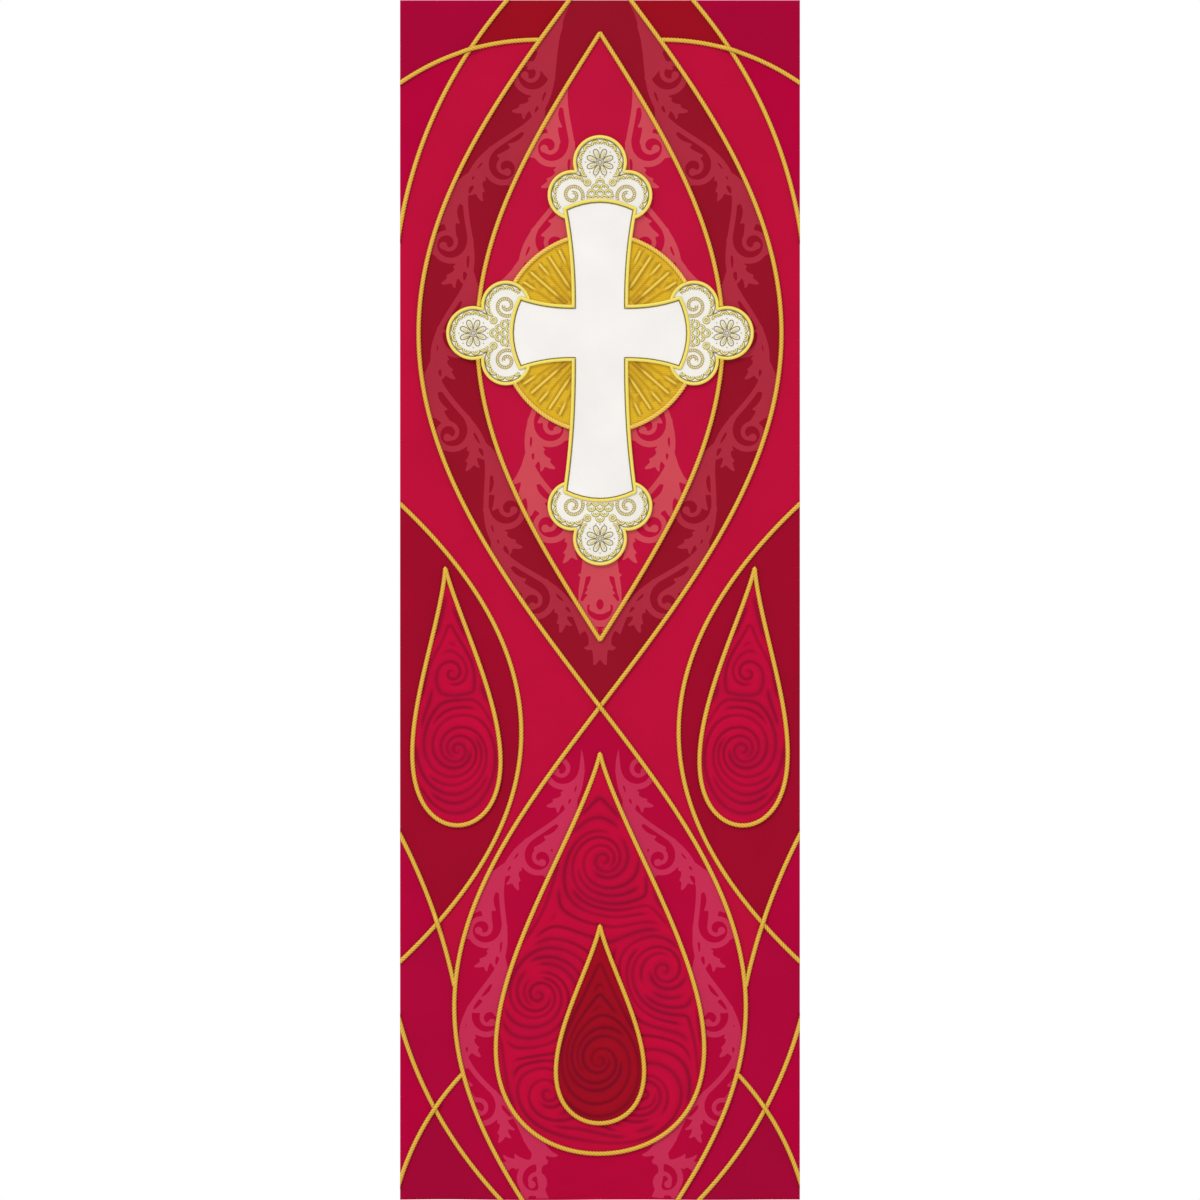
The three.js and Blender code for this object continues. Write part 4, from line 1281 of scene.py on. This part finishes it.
def beadMesh(name, spots, radius, height, material):
    # each knot is a low dome of two rings, a crown and a foot
    sides, vertices, faces = knot["sides"], [], []
    heights = [rise for _, rise in knot["rings"] for _ in range(sides)] + [knot["crown"], knot["foot"]]
    for number, spot in enumerate(spots):
        points = [polar(spot, radius * size, ringAngles(sides)) for size, _ in knot["rings"]] + [spot, spot]
        vertices.append(placed(np.vstack(points), height + radius * np.array(heights)))
        low = number * (2 * sides + 2) + np.arange(sides)
        lowNext, high, crown = np.roll(low, -1), low + sides, np.full(sides, low[0] + 2 * sides)
        highNext, foot = lowNext + sides, crown + 1
        corners = [low, lowNext, highNext, low, highNext, high, high, highNext, crown, lowNext, low, foot]
        faces.append(np.column_stack(corners).reshape(-1, 3))
    return newPiece(name, np.vstack(vertices), np.vstack(faces), material, lace["sharp"])


def runsWhere(path, mask):
    runs, start = [], None
    for i, good in enumerate([*mask, False]):
        if good and start is None:
            start = i
        if not good and start is not None:
            if i - start > lace["shortest"]:
                runs.append((path[start:i], False))
            start = None
    return runs


def lacePlan():
    # one end's stitching, in (out, across) from the end's seat: olive lines, pale cores, gold lines and knots
    olive, pale, gold, knots = [], [], [], []
    turn = np.linspace(-math.pi, math.pi, 721)
    loop = np.linspace(0, 2 * math.pi, 61)[:-1]

    def capRoom(path):
        path = np.atleast_2d(path)
        return path[:, 0] + bud["seat"] - cross["bulge"] * (1 - (path[:, 1] / cross["flare"]) ** 2)

    def inset(amount):
        return polar((0, 0), budReach(turn, amount), turn)

    def stitch(target, path, clear=True):
        target += runsWhere(path, (capRoom(path) > lace["capRoom"]) & clear)

    def shell(at, facing, outer, inner, taken=()):
        # a double arc with a pale core, as far as it stays clear of what is stitched already
        sweep = facing + np.linspace(-math.pi / 2, math.pi / 2, lace["shellSteps"])
        for target, radius in ((olive, outer), (olive, inner), (pale, (outer + inner) / 2)):
            path = polar(at, radius, sweep)
            clear = np.ones(len(path), bool)
            for other, room in taken:
                clear &= np.hypot(*(path - other).T) > room
            stitch(target, path, clear)
        isFree = all(math.hypot(*(at - other)) > room for other, room in taken)
        if capRoom(at)[0] > lace["capRoom"] and isFree:
            knots.append(at + lace["shellKnot"] * facingOf(facing))

    # an echo line inside the edge, and shells along a smoothed chain
    stitch(olive, inset(lace["echo"]))
    chain = evenly(inset(lace["chainInset"]), lace["chainStep"])
    for _ in range(lace["chainSmooth"]):
        chain[1:-1] = 0.5 * chain[1:-1] + 0.25 * (chain[:-2] + chain[2:])
    way = np.gradient(chain, axis=0)
    middle, count = len(chain) // 2, int(lace["shell"] / lace["chainStep"])
    seats = []
    for k in range(-middle // count, middle // count + 1):
        i = int(middle + (k + 0.5) * count)
        if 0 <= i < len(chain):
            seats.append((chain[i], math.atan2(way[i, 1], way[i, 0]) - math.pi / 2))
    # where two lobes meet, a small ring takes the place of two shells
    crowded = [math.hypot(*(a[0] - b[0])) < lace["crowd"] for a, b in zip(seats, seats[1:])]
    for (at, facing), before, after in zip(seats, [False] + crowded, crowded + [False]):
        if not (before or after):
            shell(at, facing, lace["shellOut"], lace["shellIn"])
    for (a, _), (b, _), close in zip(seats, seats[1:], crowded):
        spot = (a + b) / 2
        if close and capRoom(spot)[0] > lace["shellOut"]:
            for target, more in ((olive, -0.2), (olive, 2.2), (pale, 1.0)):
                target.append((polar(spot, lace["ring"] + more, np.linspace(0, 2 * math.pi, 25)[:-1]), True))
            knots.append(spot)

    # a flower on the end lobe
    end = np.array([bud["endOffset"], 0.0])
    for number in range(lace["petals"]):
        angle = 2 * math.pi * (number + 0.5) / lace["petals"]
        out = lace["petalStart"] + lace["petalLength"] * np.sin(loop / 2) ** 2
        aside = lace["petalHalf"] * np.sin(loop) * (0.62 + 0.38 * np.sin(loop / 2) ** 2)
        facing, beside = facingOf(angle), facingOf(angle)[::-1] * (-1, 1)
        olive.append((end + out[:, None] * facing + aside[:, None] * beside, True))
        pale.append((end + np.linspace(*lace["petalCore"], 9)[:, None] * facing, False))
        knots.append(end + lace["tipBeads"] * facingOf(angle + math.pi / lace["petals"]))
    olive.append((polar(end, lace["ring"], loop[::2]), True))
    knots.append(end)

    # a beaded spiral on each side lobe
    sideLobes = [bud["sideOffset"] * facingOf(way * bud["sideAngle"]) for way in (-1, 1)]
    share = np.linspace(0, 1, 240)
    reach = lace["spiralOut"] + (lace["spiralIn"] - lace["spiralOut"]) * share ** 0.9
    for way, centre in zip((-1, 1), sideLobes):
        core = polar((0, 0), 1.0, way * (lace["spiralFrom"] + 2 * math.pi * lace["spiralTurns"] * share))
        for gap in (lace["spiralHalfGap"], -lace["spiralHalfGap"]):
            stitch(gold, centre + core * np.maximum(reach + gap, 1.4)[:, None])
        beads = evenly(centre + core * reach[:, None], lace["spiralBeads"])[1:-1]
        knots += [spot for spot in beads if capRoom(spot)[0] > lace["capRoom"]]

    # rows of shells fan out between them
    taken = [(end, lace["fanRoom"])] + [(lobe, lace["fanSideRoom"]) for lobe in sideLobes]
    taken += [(at, lace["shellOut"] + lace["shellRoom"]) for at, _ in seats]
    for row in range(lace["fanRows"]):
        for column in range(-lace["fanColumns"], lace["fanColumns"] + 1):
            across = (column + 0.5 * (row % 2)) * lace["fanColumn"]
            at = np.array([lace["fanStart"] + row * lace["fanRow"], across])
            if abs(across) < lace["fanReach"]:
                shell(at, 0.0, lace["fanOut"], lace["fanIn"], taken)
    return {"Lines": olive, "Fillings": pale, "Gold": gold}, np.array(knots)


laceThreads = {
    "Lines": ("line", "oliveThread"), "Fillings": ("core", "paleThread"), "Gold": ("line", "goldThread"),
}
laceRuns, laceKnots = lacePlan()
whiteTop = layer["cross"][1]
for armName, arm in arms.items():
    label = armName.capitalize()
    outline = cutBud(arm)
    end = flatPiece(f"cross_end_{armName}", outline, materials["lace"])
    sewn = []
    for word, (size, thread) in laceThreads.items():
        runs = [(onArm(arm, path), closed) for path, closed in laceRuns[word]]
        middle = whiteTop + lace[size] * lace["seat"]
        sewn.append(threadMesh(f"lace{word}{label}", runs, lace[size], middle, materials[thread]))
    spots, middle = onArm(arm, laceKnots), whiteTop + lace["bead"] * lace["sunk"]
    sewn.append(beadMesh(f"laceKnots{label}", spots, lace["bead"], middle, materials["goldThread"]))
    for piece in sewn:
        stands(piece, None)

innerLine = [(offsetOutline(densify(whiteCross[::-1], 3), -lace["edging"]), True)]
middle = whiteTop + lace["sunk"]
edging = threadMesh("crossInnerLine", innerLine, lace["edgingThick"], middle, materials["oliveThread"])
stands(edging, None)
print("the cross and its lace are stitched")

# Couched cords. Each rests on the highest cloth under it and climbs over the cords laid before.
cordKinds = {
    "gold": {"width": 6.6, "rise": 1.9, "seat": 1.55, "material": "goldCord", "ply": 0.09, "lay": 15.0},
    "rim": {"width": 6.6, "rise": 1.9, "seat": 1.55, "material": "rimCord", "ply": 0.09, "lay": 15.0},
    "pale": {"width": 5.0, "rise": 1.5, "seat": 0.9, "material": "paleCord", "ply": 0.0, "lay": 15.0},
}
cordWork = {
    "step": 1.3, "ramp": 0.4, "smooth": 3.0, "press": 0.5, "sides": 12, "plies": 3, "edge": 0.1, "tuck": 0.08,
    "overrun": 8, "roundEnd": 2.6, "reach": 0.9, "search": 4, "touch": 0.6, "lowAt": 0.75, "under": -0.1,
    "dip": 0.55, "sharp": 80, "room": 0.6, "lap": 1.2,
}
clothTops = [(damaskUpper, "damask"), (damaskLower, "damask"), (panelOutline, "panel")]
clothTops += [(flameOutlines[name], quilt["layer"]) for name, quilt in quilts.items()]
clothTops += [(discOutline, "disc")] + [(outline, "cross") for outline in whiteOutlines]
laidCords = {}


def clothHeights(points, room):
    heights = np.zeros(len(points))
    for outline, name in clothTops:
        low, high = outline.min(axis=0) - room - 1, outline.max(axis=0) + room + 1
        near = ((points > low) & (points < high)).all(axis=1)
        if near.any():
            under = isInside(points[near], outline)
            if room > 0:
                under |= distanceTo(points[near], outline) < room
            heights[near] = np.maximum(heights[near], np.where(under, layer[name][1], 0))
    return heights


def overrun(route):
    # past both ends, so that a cord is cut by the banner's own edge
    first, last = route[0] - route[1], route[-1] - route[-2]
    more = np.arange(1, cordWork["overrun"] + 1)[:, None]
    before, after = route[0] + first / np.hypot(*first) * more, route[-1] + last / np.hypot(*last) * more
    return np.vstack([before[::-1], route, after])


def clearRun(route, stops, outlines):
    clear = np.ones(len(route), bool)
    for name in stops:
        other = laidCords[name]
        clear &= distanceTo(route, other["route"], other["closed"]) > other["width"] * cordWork["tuck"]
    for outline, room in outlines:
        clear &= depthIn(route, outline) < -room
    middle = len(route) // 2
    blocked = np.nonzero(~clear)[0]
    first = max(blocked[blocked < middle] + 1, default=0)
    return route[first:min(blocked[blocked > middle], default=len(route))]


def eased(values, closed):
    # a cord climbs and falls along a ramp, and bends softly
    values, step = values.copy(), cordWork["step"]
    order = list(range(len(values))) * (2 if closed else 1)
    for sequence in (order, order[::-1]):
        for previous, i in zip(sequence, sequence[1:]):
            values[i] = max(values[i], values[previous] - cordWork["ramp"] * step)
    reach = int(2.5 * cordWork["smooth"] / step)
    kernel = np.exp(-0.5 * (np.arange(-reach, reach + 1) * step / cordWork["smooth"]) ** 2)
    padded = np.pad(values, reach, mode="wrap" if closed else "edge")
    return np.convolve(padded, kernel / kernel.sum(), mode="valid")


def supportUnder(line, half, others):
    support = clothHeights(line, half * cordWork["reach"])
    if others:
        tops = np.concatenate([cord["top"] for cord in others])
        halves = np.concatenate([np.full(len(cord["line"]), cord["width"] / 2) for cord in others])
        tree = treeOf(np.vstack([cord["line"] for cord in others]))
        for i, (x, z) in enumerate(line):
            for _, j, away in tree.find_range((x, z, 0), half + cordWork["search"]):
                if away < half + halves[j] - cordWork["touch"]:
                    support[i] = max(support[i], tops[j] - cordWork["press"])
    return support


def layCord(node, route, kind="gold", closed=False, stops=(), outlines=(), beside=()):
    size, step, sides = cordKinds[kind], cordWork["step"], cordWork["sides"]
    if not closed:
        route = clearRun(overrun(densify(route, 1.0, False)), stops, outlines)
    line = evenly(route, step, closed)
    half, count = size["width"] / 2, len(line)
    others = [cord for name, cord in laidCords.items() if name not in (*stops, *beside)]
    support = eased(supportUnder(line, half, others), closed)
    aside = leftOf(headings(line, closed))
    lows = [clothHeights(line + aside * s * half * cordWork["lowAt"], 0) for s in (-1, 1)]
    left, right = (np.minimum(eased(low, closed), support) for low in lows)
    along = np.arange(count) * step
    total = count * step
    turns = along / total * round(total / size["lay"]) if closed else along / size["lay"]
    around = ringAngles(sides)
    ply = np.cos(cordWork["plies"] * (around - 2 * np.pi * turns[:, None]))
    swell = 1 + size["ply"] * ply
    ends = np.ones(count)
    if not closed:
        fromEnd = np.clip(np.minimum(along, along[-1] - along) / cordWork["roundEnd"], 0, 1)
        ends = np.sqrt(np.clip(1 - (1 - fromEnd) ** 2, 0.02, 1))
    sideways = half * np.cos(around) * swell * ends[:, None]
    upward = size["rise"] * np.sin(around) * swell * ends[:, None]
    # its underside reaches down to lower cloth beside it
    drop = np.where(np.cos(around) > 0, (support - right)[:, None], (support - left)[:, None])
    upward = upward - drop * np.where(np.sin(around) < cordWork["under"], np.abs(np.cos(around)), 0)
    heights = (support + size["seat"])[:, None] + upward
    spots = line[:, None, :] + aside[:, None, :] * sideways[:, :, None]
    if not closed:
        # the rings past the banner's edge go, and the last ones lie against its plane
        farthest = np.array([banner["width"] / 2, 0]) - cordWork["edge"]
        lowest = np.array([-banner["width"] / 2, -banner["height"]]) + cordWork["edge"]
        within = np.nonzero(((spots > lowest) & (spots < farthest)).all(axis=2).any(axis=1))[0]
        rings = slice(max(0, within[0] - 1), within[-1] + 2)
        spots, heights, line = spots[rings], heights[rings], line[rings]
        support, turns, ply = support[rings], turns[rings], ply[rings]
        spots, count = np.clip(spots, lowest, farthest), len(spots)
    a, b, c, d = tubeCorners(count, sides, closed)
    faces = np.column_stack([a, b, c, a, c, d]).reshape(-1, 3)
    ring, k = np.divmod(a, sides)
    # the threads' own places: round the cord with its twist taken out, and along it
    twist = turns[1] - turns[0]
    uv = np.stack([
        np.column_stack([(k + i) / sides - turns[ring] - j * twist, (ring + j) * step / 1000])
        for i, j in ((0, 0), (1, 0), (1, 1), (0, 0), (1, 1), (0, 1))
    ], axis=1).reshape(-1, 2)
    if not closed:
        fan = np.array([(0, i + 1, i) for i in range(1, sides - 1)])
        faces = np.vstack([faces, fan, fan[:, ::-1] + (count - 1) * sides])
        uv = np.vstack([uv, np.zeros((2 * fan.size, 2))])
    vertices = placed(spots.reshape(-1, 2), heights.ravel())
    piece = newPiece(camel(node), vertices, faces, materials[size["material"]], cordWork["sharp"])
    piece.data.uv_layers.new(name="thread").data.foreach_set("uv", packed(uv, np.float32))
    # a painted highlight along the cord's top, and painted shade where the plies dip
    paint(piece, "crown", np.tile(smoothStep(0.05, 0.75, np.sin(around)), count))
    paint(piece, "valley", (np.clip(-ply, 0, 1) ** 2 * (cordWork["dip"] if size["ply"] else 0.0)).ravel())
    stands(piece, node)
    top = support + size["seat"] + size["rise"]
    laidCords[node] = {"route": route, "closed": closed, "width": size["width"], "line": line, "top": top}


sides = {"left": -1, "right": 1}
for name, side in sides.items():
    layCord(f"strand_{name}", strandPath(side, 0, -banner["height"]))
for sideName, side in sides.items():
    layCord(f"flame_cord_{sideName}", flameOutlines[sideName], closed=True)
    for name, cord in groundCords.items():
        stops = ["strand_left", "strand_right"] if cord["stops"] else []
        layCord(f"ground_cord_{name}_{sideName}", groundRoutes[name] * (side, 1), stops=stops)
for name in ("centre", "heart"):
    layCord(f"flame_cord_{name}", flameOutlines[name], closed=True)
budRooms = [(outline, cordWork["room"]) for outline in whiteBuds.values()]
layCord("panel_cord_upper", panelPath(-0.5, 0.5), outlines=budRooms)
layCord("panel_cord_lower", panelPath(0.5, 1.5), outlines=budRooms)
quarterTurn = np.linspace(0, math.pi / 2, 180)
for i, arm in enumerate(arms.values()):
    start = math.atan2(arm["z"], arm["x"])
    route = polar((disc["x"], disc["z"]), disc["radius"] - disc["cordInset"], start + quarterTurn)
    layCord(f"disc_cord_{i + 1}", route, "rim", outlines=budRooms + [(whiteCross, cordWork["room"])])
golds = list(laidCords)
layCord("cross_cord", densify(whiteCross, 3), "pale", closed=True, beside=golds)
lap = [(whiteCross, -cordWork["lap"])]
for name in arms:
    layCord(f"cross_end_cord_{name}", whiteBuds[name], "pale", outlines=lap, beside=golds + ["cross_cord"])
print("the cords are couched")

# Blind hem stitches on the back.
runs = []
half = np.array([banner["width"], banner["height"]]) / 2
corners = np.array([(-1, -1), (1, -1), (1, 1), (-1, 1), (-1, -1)]) * (half - hem["stitchIn"]) + (0, -half[1])
for start, end in zip(corners[:-1], corners[1:]):
    length = np.hypot(*(end - start))
    way = (end - start) / length
    for at in np.arange(3, length - hem["stitch"] - 2, hem["stitch"] + hem["stitchGap"]):
        runs.append((np.array([start + way * at, start + way * (at + hem["stitch"])]), False))
stitches = threadMesh("hemStitches", runs, hem["stitchThick"], hem["stitchHeight"], materials["hemThread"])
stands(stitches, None)

bpy.ops.mesh.primitive_circle_add(
    vertices=studio["floorSides"], radius=studio["floorRadius"], fill_type="NGON", location=(0, 0, 0),
)
floor = bpy.context.object
floor.name = "floor"
floor.data.transform(floor.matrix_world)
for vertex in floor.data.vertices:
    vertex.co.z = studio["floorDrop"]
floor.data.materials.append(plainStuff("paleFloor", matt, studio["floorColour"]))

triangles = {piece.name: len(piece.data.polygons) for piece in pieces.values()}
print("triangles", sum(triangles.values()), sorted(triangles.items(), key=lambda item: -item[1])[:6])
